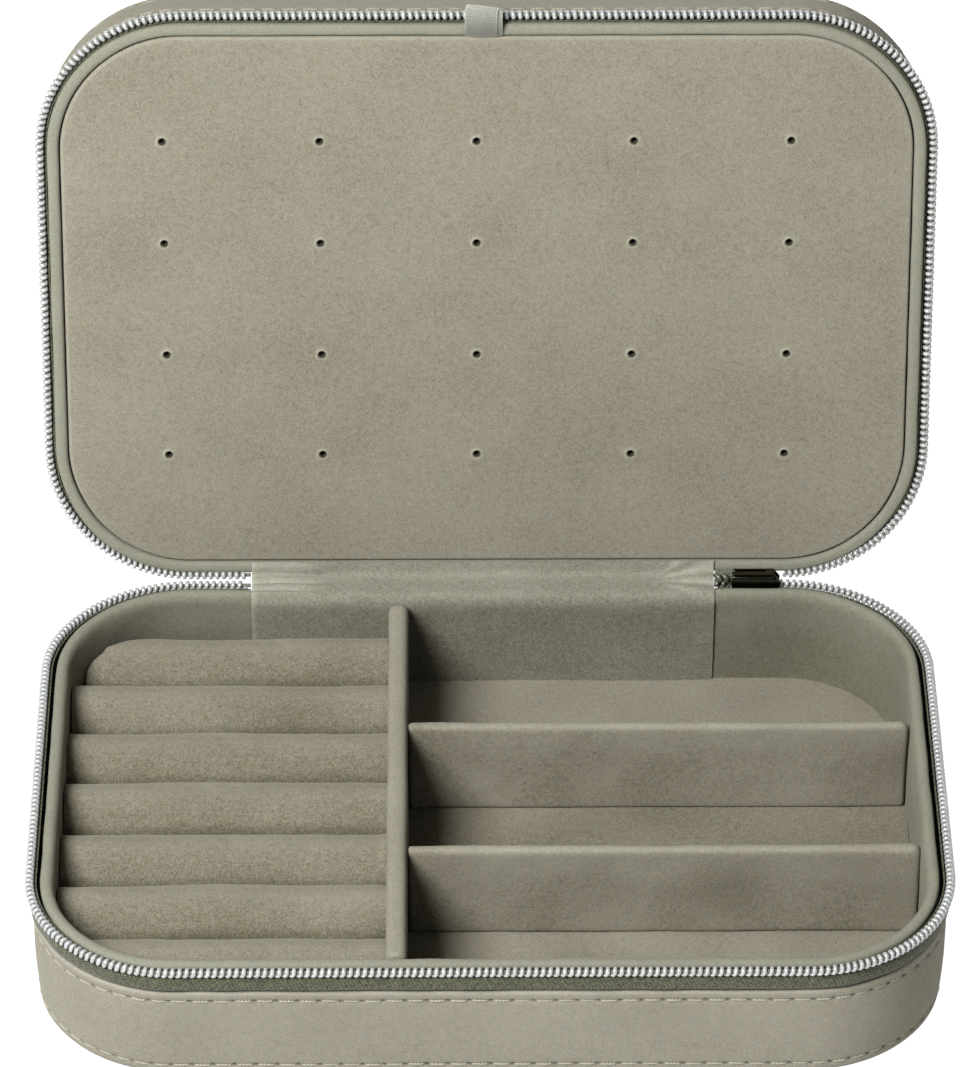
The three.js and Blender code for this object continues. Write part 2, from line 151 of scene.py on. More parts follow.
def finished(name, mesh, material, sharp=35):
    mesh.polygons.foreach_set("use_smooth", [True] * len(mesh.polygons))
    mesh.set_sharp_from_angle(angle=math.radians(sharp))
    mesh.materials.clear()
    mesh.materials.append(material)
    return linked(name, mesh)


def grid(n, k, wrap_n, wrap_k, u, v):
    """Faces of an n by k grid of points, with the UV of each corner from u along n and v along k."""
    i, j = np.meshgrid(np.arange(n if wrap_n else n - 1), np.arange(k if wrap_k else k - 1), indexing="ij")
    i2, j2 = (i + 1) % n, (j + 1) % k
    faces = np.stack([i * k + j, i * k + j2, i2 * k + j2, i2 * k + j], -1).reshape(-1, 4)
    u, v = np.asarray(u, float), np.asarray(v, float)
    uv = np.stack([np.stack([u[i], v[j]], -1), np.stack([u[i], v[j + 1]], -1),
                   np.stack([u[i + 1], v[j + 1]], -1), np.stack([u[i + 1], v[j]], -1)], -2).reshape(-1, 2)
    return faces, uv


def along(points, closed=False):
    """Distance along a polyline at each of its points, and at its first again if it is closed."""
    p = np.asarray(points, float)
    if closed:
        p = np.vstack([p, p[:1]])
    return np.concatenate([[0], np.cumsum(np.linalg.norm(np.diff(p, axis=0), axis=1))])


def tube_grid(co, u, v, name, material, ring, **kind):
    """A closed section carried along a line: co is (n, k, 3). An open line gets flat ends."""
    n, k = co.shape[:2]
    faces, uv = grid(n, k, ring, True, u, v)
    faces, uv = faces.tolist(), uv.tolist()
    if not ring:
        faces += [list(range(k)), list(range((n - 1) * k, n * k))]
        uv += [[0, 0]] * (2 * k)
    return piece(name, co.reshape(-1, 3), faces, material, uv, **kind)


def swept(name, s, section, material, ring=False, tone=None, **kind):
    """A closed section of (inset, height) swept along the outline at distances s; it may differ at each."""
    section = np.asarray(section, float)
    v = along(section if section.ndim == 2 else section[0], True)
    if section.ndim == 2:
        section = np.broadcast_to(section, (len(s),) + section.shape)
    point, normal = outline_at(s)
    co = np.empty(section.shape[:2] + (3,))
    co[..., :2] = point[:, None] - normal[:, None] * section[..., :1]
    co[..., 2] = section[..., 1]
    u = np.append(s, LENGTH) if ring else s
    if tone is not None:
        tone = np.broadcast_to(tone, section.shape[:2]).ravel()
    return tube_grid(co, u, v, name, material, ring, tone=tone, **kind)


def rounded(points, rounds=2, closed=False):
    """A polyline with its corners cut, which turns it into a smooth curve."""
    p = np.asarray(points, float)
    for _ in range(rounds):
        q = np.vstack([p, p[:1]]) if closed else p
        a, b = q[:-1], q[1:]
        cut = np.stack([a * 0.75 + b * 0.25, a * 0.25 + b * 0.75], 1).reshape(-1, 2)
        p = cut if closed else np.vstack([p[:1], cut[1:-1], p[-1:]])
    return p


def spaced(points, step):
    """A polyline resampled to even steps."""
    p = np.asarray(points, float)
    d = along(p)
    at = np.linspace(0, d[-1], max(2, round(d[-1] / step) + 1))
    return np.stack([np.interp(at, d, p[:, c]) for c in range(p.shape[1])], -1)


def sideways(line):
    """Unit normals of a flat polyline, to the left of its direction."""
    ahead = np.gradient(line, axis=0)
    side = np.stack([-ahead[:, 1], ahead[:, 0]], -1)
    return side / np.linalg.norm(side, axis=1)[:, None]


def open_edges(faces):
    """The edges that only one face uses, in that face's direction."""
    used = dict.fromkeys((a, b) for f in faces for a, b in zip(f, f[1:] + f[:1]))
    return [(a, b) for a, b in used if (b, a) not in used]


def triangulated(loops, loose, kind, reach):
    """Flat points and triangles between closed loops, with loose points among them; kind is Blender's."""
    points, edges = [], []
    for p in loops:
        first = len(points)
        points += [Vector(q) for q in p]
        edges += [(first + i, first + (i + 1) % len(p)) for i in range(len(p))]
    points += [Vector(q) for q in loose]
    flat, _, faces = geometry.delaunay_2d_cdt(points, edges, [], kind, reach)[:3]
    return np.array([tuple(p) for p in flat]), faces


def points_of(mesh):
    """A mesh's points, in millimetres."""
    co = np.empty(len(mesh.vertices) * 3, np.float32)
    mesh.vertices.foreach_get("co", co)
    return co.reshape(-1, 3).astype(float) / MM


def move_points(mesh, co):
    mesh.vertices.foreach_set("co", (co * MM).astype(np.float32).ravel())
    mesh.update()


def soft_noise(co, size, seed=0, seed_step=11.7):
    """Smooth noise from -1 to 1 at points, with features of that size in millimetres."""
    return np.array([noise.noise(Vector(p)) for p in np.asarray(co, float) / size + seed * seed_step])


def ruffle(obj, height, size, seed=0, stretch=(1, 1, 1), mask=None):
    """Moves each vertex along its normal by soft noise, height in millimetres at features of that size."""
    co = points_of(obj.data)
    normals = np.empty(co.size, np.float32)
    obj.data.vertices.foreach_get("normal", normals)
    amount = soft_noise(co / np.array(stretch), size, seed, 17.3) * height
    if mask is not None:
        amount *= mask(co)
    move_points(obj.data, co + normals.reshape(-1, 3) * amount[:, None])
    return obj


def set_tone(obj, rule):
    """Sets the tone on each vertex from its point in millimetres: the pile's own variation, painted
    highlights and painted shade.
    """
    mesh = obj.data
    found = mesh.attributes.get("tone") or mesh.attributes.new("tone", "FLOAT", "POINT")
    found.data.foreach_set("value", np.asarray(rule(points_of(mesh)), np.float32))
    return obj


def settled_low(obj):
    """Lets the face of a lid piece sink towards the hinge, then opens it with the lid."""
    co = points_of(obj.data)
    v, w = HINGE_Y - co[:, 1], co[:, 2] - ZIP
    co[:, 1] += 0.9 * step_up(-v, -30, -5) * step_up(-w, -5, -2.9)
    move_points(obj.data, co)
    obj.data.transform(OPENED)
    obj.data.update()


def step_up(x, low, high):
    """A smooth step from 0 at low to 1 at high."""
    t = np.clip((np.asarray(x, float) - low) / (high - low), 0, 1)
    return t * t * (3 - 2 * t)


def bell(x, middle, width):
    """A smooth bump of height 1 round its middle."""
    return np.exp(-((x - middle) / width) ** 2)


# ---- materials
class Nodes:
    """A short hand for one material's nodes."""

    def __init__(self, name):
        self.material = bpy.data.materials.new(name)
        self.material.use_nodes = True
        self.tree = self.material.node_tree
        self.bsdf = self.tree.nodes["Principled BSDF"]
        self.place = self.add("ShaderNodeTexCoord").outputs["Object"]
        self.uv = self.add("ShaderNodeTexCoord").outputs["UV"]

    def add(self, kind, **settings):
        node = self.tree.nodes.new(kind)
        for key, value in settings.items():
            setattr(node, key, value)
        return node

    def wire(self, source, target):
        if isinstance(source, (int, float)):
            target.default_value = source
        else:
            self.tree.links.new(source, target)

    def noise(self, size_mm, detail=3.0, rough=0.55, vector=None, stretch=None):
        """Noise from 0 to 1 whose features are about that size."""
        node = self.add("ShaderNodeTexNoise")
        node.inputs["Scale"].default_value = 1.0 if stretch else 1.0 / (size_mm * MM)
        node.inputs["Detail"].default_value = detail
        node.inputs["Roughness"].default_value = rough
        at = vector or self.place
        if stretch:
            mapping = self.add("ShaderNodeMapping")
            mapping.inputs["Scale"].default_value = [1.0 / (size_mm * f * MM) for f in stretch]
            self.wire(at, mapping.inputs["Vector"])
            at = mapping.outputs["Vector"]
        self.wire(at, node.inputs["Vector"])
        return node.outputs["Fac"]

    def math(self, how, a, b=0.0, c=0.0):
        node = self.add("ShaderNodeMath", operation=how)
        for value, socket in zip((a, b, c), node.inputs):
            self.wire(value, socket)
        return node.outputs[0]

    def total(self, start, *parts):
        """A start value plus each source times its share."""
        for source, share in parts:
            start = self.math("MULTIPLY_ADD", source, share, start)
        return start

    def wave(self, source, pitch_mm):
        return self.math("SINE", self.math("MULTIPLY", source, TURN / pitch_mm))

    def ramp(self, factor, stops):
        node = self.add("ShaderNodeValToRGB")
        elements = node.color_ramp.elements
        while len(elements) < len(stops):
            elements.new(0.5)
        for element, (at, colour) in zip(elements, stops):
            element.position = at
            element.color = (*colour, 1.0)
        self.wire(factor, node.inputs["Fac"])
        return node.outputs["Color"]

    def multiplied(self, a, b):
        node = self.add("ShaderNodeMix", data_type="RGBA", blend_type="MULTIPLY")
        for source, name in ((1.0, "Factor"), (a, "A"), (b, "B")):
            self.wire(source, node.inputs[name])
        return node.outputs["Result"]

    def bump(self, height, distance_mm, strength=1.0, before=None):
        node = self.add("ShaderNodeBump")
        node.inputs["Distance"].default_value = distance_mm * MM
        node.inputs["Strength"].default_value = strength
        self.wire(height, node.inputs["Height"])
        if before is not None:
            self.wire(before, node.inputs["Normal"])
        return node.outputs["Normal"]

    def colour(self, source):
        self.wire(source, self.bsdf.inputs["Base Color"])

    def set(self, **values):
        for key, value in values.items():
            self.bsdf.inputs[key.replace("_", " ")].default_value = value


def hexed(code):
    """A display colour such as 9d9887 as linear red, green and blue."""
    parts = [int(code[i:i + 2], 16) / 255 for i in (0, 2, 4)]
    return tuple(c / 12.92 if c <= 0.04045 else ((c + 0.055) / 1.055) ** 2.4 for c in parts)


def scaled(colour, factor):
    return tuple(c * factor for c in colour)


CLOTH = 0.62  # a cloth's own colour, as a share of its colour when lit


def dyed(code):
    return scaled(hexed(code), CLOTH)


def velvet(name, deep, middle, pale, grain=1.0):
    """Short-pile velvet: a mottled grain, soft marks where the pile lies another way, and a pale sheen."""
    n = Nodes(name)
    tone = n.add("ShaderNodeAttribute", attribute_name="tone").outputs["Fac"]
    fine, blotch, marks = n.noise(0.42, 2.0, 0.7), n.noise(1.3, 3.0, 0.65), n.noise(24, 2.0, 0.5)
    shares = (0.66 * grain, 0.26 * grain, 0.16)
    # tone adds each piece's own pile variation, and its painted highlights and painted shade
    value = n.total(0.5 - sum(shares) / 2, (tone, 0.32), *zip((fine, blotch, marks), shares))
    body = n.ramp(value, ((0.0, scaled(deep, 0.35)), (0.26, deep), (0.5, middle), (0.8, pale),
                          (1.0, scaled(pale, 1.25))))
    hue = n.ramp(n.noise(1.5, 2.0, 0.6), ((0.3, (1.035, 1.0, 0.965)), (0.7, (0.965, 1.0, 1.03))))
    n.colour(n.multiplied(body, hue))
    pile = n.bump(fine, 0.10, 0.4 * grain)
    n.wire(n.bump(blotch, 0.14, 0.35 * grain, pile), n.bsdf.inputs["Normal"])
    n.set(Roughness=0.97, Sheen_Weight=0.12, Sheen_Roughness=0.5, Specular_IOR_Level=0.1)
    n.bsdf.inputs["Sheen Tint"].default_value = (*hexed("e4e4d4"), 1.0)
    return n.material


def woven(name, dark, light, thread_mm):
    """Zip tape: two sets of threads that pass over and under each other, in a fine herringbone."""
    n = Nodes(name)
    split = n.add("ShaderNodeSeparateXYZ")
    n.wire(n.uv, split.inputs[0])
    u, v = split.outputs["X"], split.outputs["Y"]
    over = n.wave(n.math("MULTIPLY_ADD", v, 0.5, u), thread_mm)
    under = n.wave(n.math("MULTIPLY_ADD", u, -0.25, v), thread_mm / 1.15)
    weave = n.math("MULTIPLY_ADD", n.math("MULTIPLY", over, under), 0.5, 0.5)
    worn = n.total(0.0, (weave, 0.3), (n.noise(0.8, 3.0, 0.75), 1.2))
    n.colour(n.ramp(worn, ((0.45, dark), (1.0, light))))
    n.wire(n.bump(weave, 0.12, 0.8), n.bsdf.inputs["Normal"])
    n.set(Roughness=0.85, Sheen_Weight=0.15, Specular_IOR_Level=0.25)
    return n.material


def polished(name, dark, light, roughness, metallic, wear_mm=3.0, specular=0.5):
    """Metal or smooth nylon with worn patches and fine scratches, which also break up its shine."""
    n = Nodes(name)
    wear = n.noise(wear_mm, 4.0, 0.6)
    n.colour(n.ramp(wear, ((0.3, dark), (0.7, light))))
    scratch = n.noise(0.25, 3.0, 0.7, stretch=(6, 1, 1))
    n.wire(n.bump(scratch, 0.02, 0.25), n.bsdf.inputs["Normal"])
    rough = n.math("MULTIPLY_ADD", scratch, 0.14, roughness - 0.07)
    n.wire(rough, n.bsdf.inputs["Roughness"])
    n.set(Metallic=metallic, Specular_IOR_Level=specular)
    return n.material


def thread(name, dark, light):
    """Sewing thread or cord, slightly fuzzy."""
    n = Nodes(name)
    fuzz = n.noise(0.22, 3.0, 0.7)
    n.colour(n.ramp(fuzz, ((0.3, dark), (0.7, light))))
    n.wire(n.bump(fuzz, 0.06, 0.6), n.bsdf.inputs["Normal"])
    n.set(Roughness=0.7, Sheen_Weight=0.2)
    return n.material


def satin(name, dark, middle, light):
    """Ribbon: fine ribs across it and a soft shine, lighter or darker by its tone: pale edges, a painted
    highlight and painted shade.
    """
    n = Nodes(name)
    tone = n.add("ShaderNodeAttribute", attribute_name="tone").outputs["Fac"]
    split = n.add("ShaderNodeSeparateXYZ")
    n.wire(n.uv, split.inputs[0])
    ribs, warp = (n.math("MULTIPLY_ADD", n.wave(split.outputs[way], pitch_mm), 0.5, 0.5)
                  for way, pitch_mm in (("Y", 0.42), ("X", 0.3)))
    shade = n.total(0.2, (ribs, 0.21), (n.noise(0.5, 3.0, 0.6), 0.39), (tone, 0.35))
    n.colour(n.ramp(shade, ((0.1, dark), (0.5, middle), (0.95, light))))
    n.wire(n.bump(n.total(ribs, (warp, 0.5)), 0.05, 0.5), n.bsdf.inputs["Normal"])
    n.set(Roughness=0.42, Sheen_Weight=0.3, Specular_IOR_Level=0.5)
    return n.material


def fibreboard(name, dark, light):
    """Board with fibres that lie across it."""
    n = Nodes(name)
    fibre = n.noise(0.5, 4.0, 0.7, stretch=(3, 1, 1))
    n.colour(n.ramp(n.total(0.0, (fibre, 0.7), (n.noise(6, 3.0), 0.3)), ((0.3, dark), (0.7, light))))
    n.wire(n.bump(fibre, 0.08, 0.5), n.bsdf.inputs["Normal"])
    n.set(Roughness=0.9)
    return n.material


plush = velvet("velvet", dyed("6f6a57"), dyed("969080"), dyed("aeac9b"))
plush_loose = velvet("velvet_loose", dyed("686455"), dyed("928f80"), dyed("b4b2a3"), 1.05)
plush_pale = velvet("velvet_light", dyed("736e5c"), dyed("8f8e7e"), dyed("a6a696"), 0.8)
shell = velvet("velvet_shell", dyed("7c7768"), dyed("9d9888"), dyed("b6b2a4"), 0.8)
tape_cloth = woven("zip_tape", hexed("0f1009"), hexed("5c5d47"), 1.15)
coil_nylon = polished("zip_coil", hexed("929593"), hexed("b6b9b7"), 0.25, 0.1, 0.8, 0.9)
# a darker copy of the coil's nylon for the closed stretch and the web behind it: painted shade
chain_nylon_shaded = polished("zip_chain", hexed("0a0b06"), hexed("7b7d6a"), 0.35, 0.1, 0.4, 0.9)
cord_nylon = thread("zip_core", hexed("4a4b42"), hexed("6f7066"))
gunmetal = polished("zip_metal", hexed("4c4a42"), hexed("5b594f"), 0.17, 1.0, 8.0)
stitch_thread = thread("stitch_thread", hexed("7f7b6b"), hexed("a19d8c"))
ribbon_satin = satin("ribbon", hexed("4c4d44"), hexed("696a60"), hexed("999a90"))
board_fibre = fibreboard("backing", hexed("5d5747"), hexed("827b69"))


# ---- placing pieces
def put(obj, body, *nodes, slot="velvet"):
    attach(obj, body)
    if nodes:
        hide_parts(*nodes)
    return obj


# ---- outer walls, with turned-over edges and two rows of stitching each
STITCHES = 136
STITCH_PITCH = LENGTH / STITCHES
STITCH_UPPER, STITCH_LOWER = WALL_FOLD + 2.7, 3.3  # from the zip plane, and from the outer face
WALL_TOP, WALL_FOOT, WALL_EDGE, WALL_THICK = 1.6, 2.2, 2.5, 1.3
FLANGE, FLANGE_THICK = 5.0, 2.9
SEAM_GROOVE, HOLE_DEPTH, HOLE_PULL = 0.2, 0.45, 0.10  # depths of a seam, a needle hole and its dimple
WALL_BELLY = 0.22  # how far a wall swells between its seams


def wall_inset(z, height):
    """Inset of a wall's outer face at a height above its outer side."""
    return np.interp(z, [WALL_EDGE, height - WALL_FOLD - 0.6], [WALL_FOOT, WALL_TOP + 0.05])


def wall(name, height, place):
    """A wall with its edge folded over at the tape, dimpled at each stitch and drawn in along each seam."""
    fold = height - WALL_FOLD
    rows = np.array([height - STITCH_UPPER, STITCH_LOWER])
    angles = np.radians([0, 22, 45, 68, 90])
    foot = [(WALL_FOOT + WALL_EDGE * (1 - math.sin(a)), WALL_EDGE * (1 - math.cos(a))) for a in angles]
    fine = np.arange(-1.2, 1.21, 0.3)
    heights = np.concatenate([rows[1] + fine[2:], rows[0] + fine, np.arange(rows[1] + 2, rows[0] - 1.6, 1.9),
                              [fold - 1.7, fold - 1.2]])
    face = [(wall_inset(z, height), z) for z in np.unique(np.round(heights, 3)) if z > WALL_EDGE + 0.05]
    turn = [(WALL_TOP + 0.07, fold - 0.75), (WALL_TOP + 0.16, fold - 0.4), (WALL_TOP + 0.36, fold - 0.13),
            (WALL_TOP + 0.6, fold), (WALL_TOP + 0.8, fold), (WALL_TOP + 1.05, fold - 0.12),
            (WALL_TOP + 1.22, fold - 0.4), (WALL_TOP + WALL_THICK, fold - 0.8)]
    inside = [(WALL_TOP + WALL_THICK + 0.05, fold - 4), (WALL_TOP + WALL_THICK + 0.5, fold * 0.45),
              (WALL_FOOT + WALL_THICK, FLANGE_THICK), (FLANGE, FLANGE_THICK), (FLANGE, 0.25),
              (FLANGE - 0.25, 0)]
    section = np.array(foot + face + turn + inside)
    steps = STITCHES * 8
    s = np.arange(steps) * LENGTH / steps
    sections = np.broadcast_to(section, (steps,) + section.shape).copy()
    z = section[:, 1][None]
    outside = (np.arange(len(section)) < len(foot) + len(face) + 3)[None]
    to_hole = np.abs((s + STITCH_PITCH / 2) % STITCH_PITCH - STITCH_PITCH / 2)[:, None]
    tone = np.zeros(sections.shape[:2])
    for row in rows:
        across = bell(z, row, 0.5) * outside
        hole = bell(z, row, 0.3) * bell(to_hole, 0, 0.34) * outside
        pull = bell(z, row, 1.1) * outside * bell(to_hole, 0, 1.0)
        sections[..., 0] += SEAM_GROOVE * across + HOLE_DEPTH * hole + HOLE_PULL * pull
        # painted shade in each seam and needle hole
        tone -= 0.2 * across + 1.1 * hole
    # painted highlight along the folded edge
    tone += 0.45 * bell(z, fold - 0.2, 0.7) * outside
    belly = np.sin(np.clip((z - rows[1]) / (rows[0] - rows[1]), 0, 1) * math.pi) * outside
    sections[..., 0] -= WALL_BELLY * belly
    if place is not None:
        sections[..., 1] = ZIP + height - sections[..., 1]

    def above_foot(co):
        return step_up(co[:, 2], 0.3, 4)

    obj = swept(name, s, sections, shell, ring=True, tone=tone, place=place, sharp=60)
    ruffle(obj, 0.18, 26, seed=3, mask=above_foot)
    return ruffle(obj, 0.06, 5, seed=4, mask=above_foot)


STITCH_RADIUS, STITCH_SUNK, STITCH_TWISTS = 0.24, 0.13, 2.2
STITCH_SHARE = 0.74  # of the pitch that shows between two holes


def stitching(name, height, row, place):
    """One row of two-ply stitches lying in the wall's seam."""
    inset = float(wall_inset(row, height)) + STITCH_SUNK
    rings, sides = 13, 6
    t = np.linspace(0, 1, rings)
    corner = np.arange(sides) * TURN / sides
    swell = np.sqrt(np.clip(1 - (2 * t - 1) ** 6, 0, 1)) * 0.75 + 0.25
    radius = STITCH_RADIUS * swell[:, None] * (1 + 0.3 * np.cos(2 * corner))
    turn = corner + (t * TURN * STITCH_TWISTS)[:, None]
    across, up = radius * np.cos(turn), radius * np.sin(turn)
    one = grid(rings, sides, False, True, t, np.arange(sides + 1))[0].tolist()
    one += [list(range(sides)), list(range((rings - 1) * sides, rings * sides))]
    co, faces = [], []
    for i in range(STITCHES):
        point, normal = outline_at((i + (1 - STITCH_SHARE) / 2 + STITCH_SHARE * t) * STITCH_PITCH)
        sag = 0.16 * (1 - np.sin(t * math.pi)) + 0.03 * math.sin(i * 2.3)
        lean_up = 0.10 * (t - 0.5) + 0.07 * math.sin(i * 1.7)
        flat = point[:, None] - normal[:, None] * (inset + sag[:, None] - across)[..., None]
        z = row + up + lean_up[:, None]
        if place is not None:
            z = ZIP + height - z
        co.append(np.concatenate([flat, z[..., None]], -1).reshape(-1, 3))
        faces += [[i * rings * sides + v for v in f] for f in one]
    return piece(name, np.concatenate(co), faces, stitch_thread, place=place, sharp=80)


put(wall("base_cover", ZIP, None), "base", "base_outer_wall")
put(wall("lid_cover", LID_HEIGHT, OPENED), "lid", "lid_outer_wall")
for body, height, place in (("base", ZIP, None), ("lid", LID_HEIGHT, OPENED)):
    put(stitching(f"{body}_stitching_upper", height, height - STITCH_UPPER, place), body)
    put(stitching(f"{body}_stitching_lower", height, STITCH_LOWER, place), body)


# ---- flat panels with the case's outline
EDGE_RINGS = (0, 0.12, 0.35, 0.7, 1.2)  # loops of points inside the edge, in shares of its radius
HOLE_RINGS = (0, 0.15, 0.4, 0.75, 1.2)  # and round a hole, in millimetres from its rim


def panel(name, inset, face, back, material, edge=0.7, spacing=2.4, holes=(), radius=0.0, puff=0.0,
          rim=0.0, place=None, grain=0.06):
    """A board or pad with rounded edges on its face, closed at the back, and pierced by round holes."""
    up = 1.0 if face > back else -1.0
    loop = outline_at(np.arange(0, LENGTH, 1.5))

    def from_hole(x, y):
        """How far points lie outside the nearest hole's rim."""
        gaps = [np.hypot(x - hx, y - hy) - radius for hx, hy in holes]
        return np.min(gaps, axis=0) if gaps else np.full(len(x), 1000.0)

    turn = np.arange(14) * TURN / 14
    circle = np.stack([np.cos(turn), np.sin(turn)], -1)
    loops = [loop[0] - loop[1] * (inset + d * edge) for d in EDGE_RINGS]
    loops += [hole + circle * (radius + r) for hole in holes for r in HOLE_RINGS]
    gx, gy = np.meshgrid(np.arange(-HALF_X, HALF_X, spacing), np.arange(-HALF_Y, HALF_Y, spacing * 0.866))
    gx = gx + (np.arange(gx.shape[0]) % 2)[:, None] * spacing / 2
    gx, gy = gx.ravel(), gy.ravel()
    keep = depth_inside(gx, gy, inset) > EDGE_RINGS[-1] * edge + 1.0
    keep &= from_hole(gx, gy) > HOLE_RINGS[-1] + 0.7
    flat, faces = triangulated(loops, zip(gx[keep], gy[keep]), 0, 1e-6)
    centre = np.array([flat[list(f)].mean(0) for f in faces])
    inside = (depth_inside(*centre.T, inset) > 0) & (from_hole(*centre.T) > -0.1 * radius)
    faces = [tuple(f) for f, yes in zip(faces, inside) if yes]
    d, r = np.clip(depth_inside(*flat.T, inset), 0, None), from_hole(*flat.T)
    lift = -(edge - np.sqrt(np.clip(edge ** 2 - np.clip(edge - d, 0, None) ** 2, 0, None)))
    lift += puff * step_up(d, 0, 12)
    # paler along the rounded edge: a painted highlight
    tone = 0.5 * bell(d, 0.35, 0.5) if edge else np.zeros(len(d))
    lift += rim * bell(r, 0.42, 0.38) - 0.35 * bell(r, 0, 0.16)
    # a painted highlight on the raised rim round each hole, and painted shade down into the hole
    tone += 0.75 * bell(r, 0.5, 0.35) - 2.4 * bell(r, 0, 0.14)
    lift += grain * soft_noise(np.column_stack([flat, np.zeros(len(flat))]), 9, seed=2) * step_up(d, 0, 2)
    n = len(flat)
    top = np.column_stack([flat, face + up * lift])
    bottom = np.column_stack([flat, np.full(n, back)])
    rims = [(b, a, a + n, b + n) for a, b in open_edges(faces)]
    all_faces = faces + [tuple(i + n for i in reversed(f)) for f in faces] + rims
    co = np.vstack([top, bottom])
    seen = np.unique(np.concatenate([np.array(f) for f in all_faces]))
    order = {int(v): i for i, v in enumerate(seen)}
    all_faces = [[order[int(i)] for i in f] for f in all_faces]
    # the back keeps only the painted shade in the holes
    return piece(name, co[seen], all_faces, material, place=place, sharp=45,
                 tone=np.concatenate([tone, np.where(tone < -1, tone, 0)])[seen])


put(panel("base_underside", FLANGE + 0.3, 0.15, 2.6, shell, edge=0.6, spacing=3.5),
    "base", "base_bottom_panel")
put(panel("lid_top_cover", FLANGE + 0.3, ZIP + LID_HEIGHT, ZIP + LID_HEIGHT - 2.6, shell, edge=0.6,
          spacing=3.0, place=OPENED), "lid", "lid_top_panel")
FLOOR_TOP, FLOOR_BACK = 5.0, 3.0
floor_pad = panel("floor_pad", 6.7, FLOOR_TOP, FLOOR_BACK, plush, edge=0.1, grain=0.2)
# painted shade over the floor in front of the rear divider, strongest in the middle compartment, and a
# painted shadow right of the main divider; the noise is random tone
set_tone(floor_pad, lambda co: 0.08 - 0.38 * step_up(-co[:, 1], -24, -18) + 0.3 * step_up(-co[:, 1], 22, 30)
         - 0.45 * step_up(-co[:, 0], 7, 17) + 0.2 * soft_noise(co, 19, 8))
put(floor_pad, "base", "base_floor")
LID_LINING_FACE, LID_LINING_THICK = ZIP + 16.7, 0.8
put(panel("lid_lining_panel", 5.8, LID_LINING_FACE - LID_LINING_THICK, LID_LINING_FACE, plush, edge=0.2,
          spacing=4, place=OPENED), "lid", "lid_lining")

# ---- earring panel: a velvet pad and its board, pierced for the pins
PANEL_INSET, PANEL_FACE, PAD_THICK, BOARD_GAP, BOARD_THICK = 5.9, 1.2, 1.7, 0.3, 0.8
PIN_RADIUS, PIN_PITCH, PIN_SHIFT = 0.75, 36.6, -2.3
PIN_ROWS = (40.8, 15.1, -13.5, -39.5)
pins = [(PIN_SHIFT + (i - 2) * PIN_PITCH, -row) for row in PIN_ROWS for i in range(5)]
pad = panel("earring_pad", PANEL_INSET, ZIP + PANEL_FACE, ZIP + PANEL_FACE + PAD_THICK, plush, edge=0.8,
            holes=pins, radius=PIN_RADIUS, rim=0.25, puff=0.15, grain=0.12)
settled_low(pad)
put(pad, "panel", "earring_panel")
board_face = ZIP + PANEL_FACE + PAD_THICK + BOARD_GAP
put(panel("earring_board", PANEL_INSET + 0.3, board_face + BOARD_THICK, board_face, board_fibre, edge=0.15,
          spacing=5, holes=pins, radius=PIN_RADIUS, place=OPENED),
    "panel", "earring_panel_backing", slot="backing")


# ---- liners: velvet over the boards that stand inside the walls
def liner(name, outer_side, top, inner_side, place, tone_rule):
    """A velvet wall round the whole outline, from three parts of its section."""
    section = np.array(outer_side + top + inner_side)
    s = np.arange(0, LENGTH, LENGTH / round(LENGTH / 1.2))
    tone = tone_rule(section)[None]
    return swept(name, s, section, plush_pale, ring=True, tone=tone, place=place, sharp=60)


RIM, LINER_INSET = 31.75, 6.8  # the base liner's top, and its inner side
LEAN_FROM, BACK_Y, LEAN_TOP = 45, 64.0, 30  # the corners lean less and less, and the rim doesn't
LEAN = 2.0  # how far the back leans out at the floor


def lean(y, z):
    """How far a point of the back's inner side stands behind the outline's even inset."""
    return LEAN * step_up(y, LEAN_FROM, BACK_Y) * np.clip((LEAN_TOP - z) / (LEAN_TOP - FLOOR_TOP), 0, 1)


def lean_back(obj):
    """Leans the inner side of a piece out at the back."""
    co = points_of(obj.data)
    inner = depth_inside(co[:, 0], co[:, 1], 5.0) > 0
    co[:, 1] += lean(co[:, 1], co[:, 2]) * inner
    move_points(obj.data, co)


base_liner = liner(
    "base_liner",
    [(3.9, 3.3), (3.8, 8), (3.7, 16), (3.6, 20), (3.55, 24), (3.55, 28)],
    [(3.5, RIM - 1.6), (3.52, RIM - 0.9), (3.7, RIM - 0.45), (4.0, RIM - 0.18), (4.45, RIM - 0.04),
     (4.95, RIM), (5.4, RIM - 0.06), (5.8, RIM - 0.26), (6.15, RIM - 0.6), (6.45, RIM - 1.1),
     (6.65, RIM - 1.8), (6.75, RIM - 2.6)],
    [(LINER_INSET, z) for z in np.arange(28.0, 4, -1.3)] + [(LINER_INSET, 3.3)],
    # the tone paints a highlight over the rim and painted shade down the inner side, deeper towards the floor
    None, lambda p: 0.3 - 0.55 * step_up(p[:, 0], 4.9, 6.7) - 0.25 * step_up(-p[:, 1], -28, -16))
lean_back(base_liner)
ruffle(base_liner, 0.4, 16, seed=5, stretch=(1, 1, 1.6),
       mask=lambda co: (step_up(depth_inside(co[:, 0], co[:, 1], 5.5), 0, 1.0)
                        * step_up(-co[:, 2], -30.5, -27) * 0.8))
ruffle(base_liner, 0.14, 7, seed=6)
put(base_liner, "base", "base_inner_wall", slot="velvet_light")
lean_back(floor_pad)

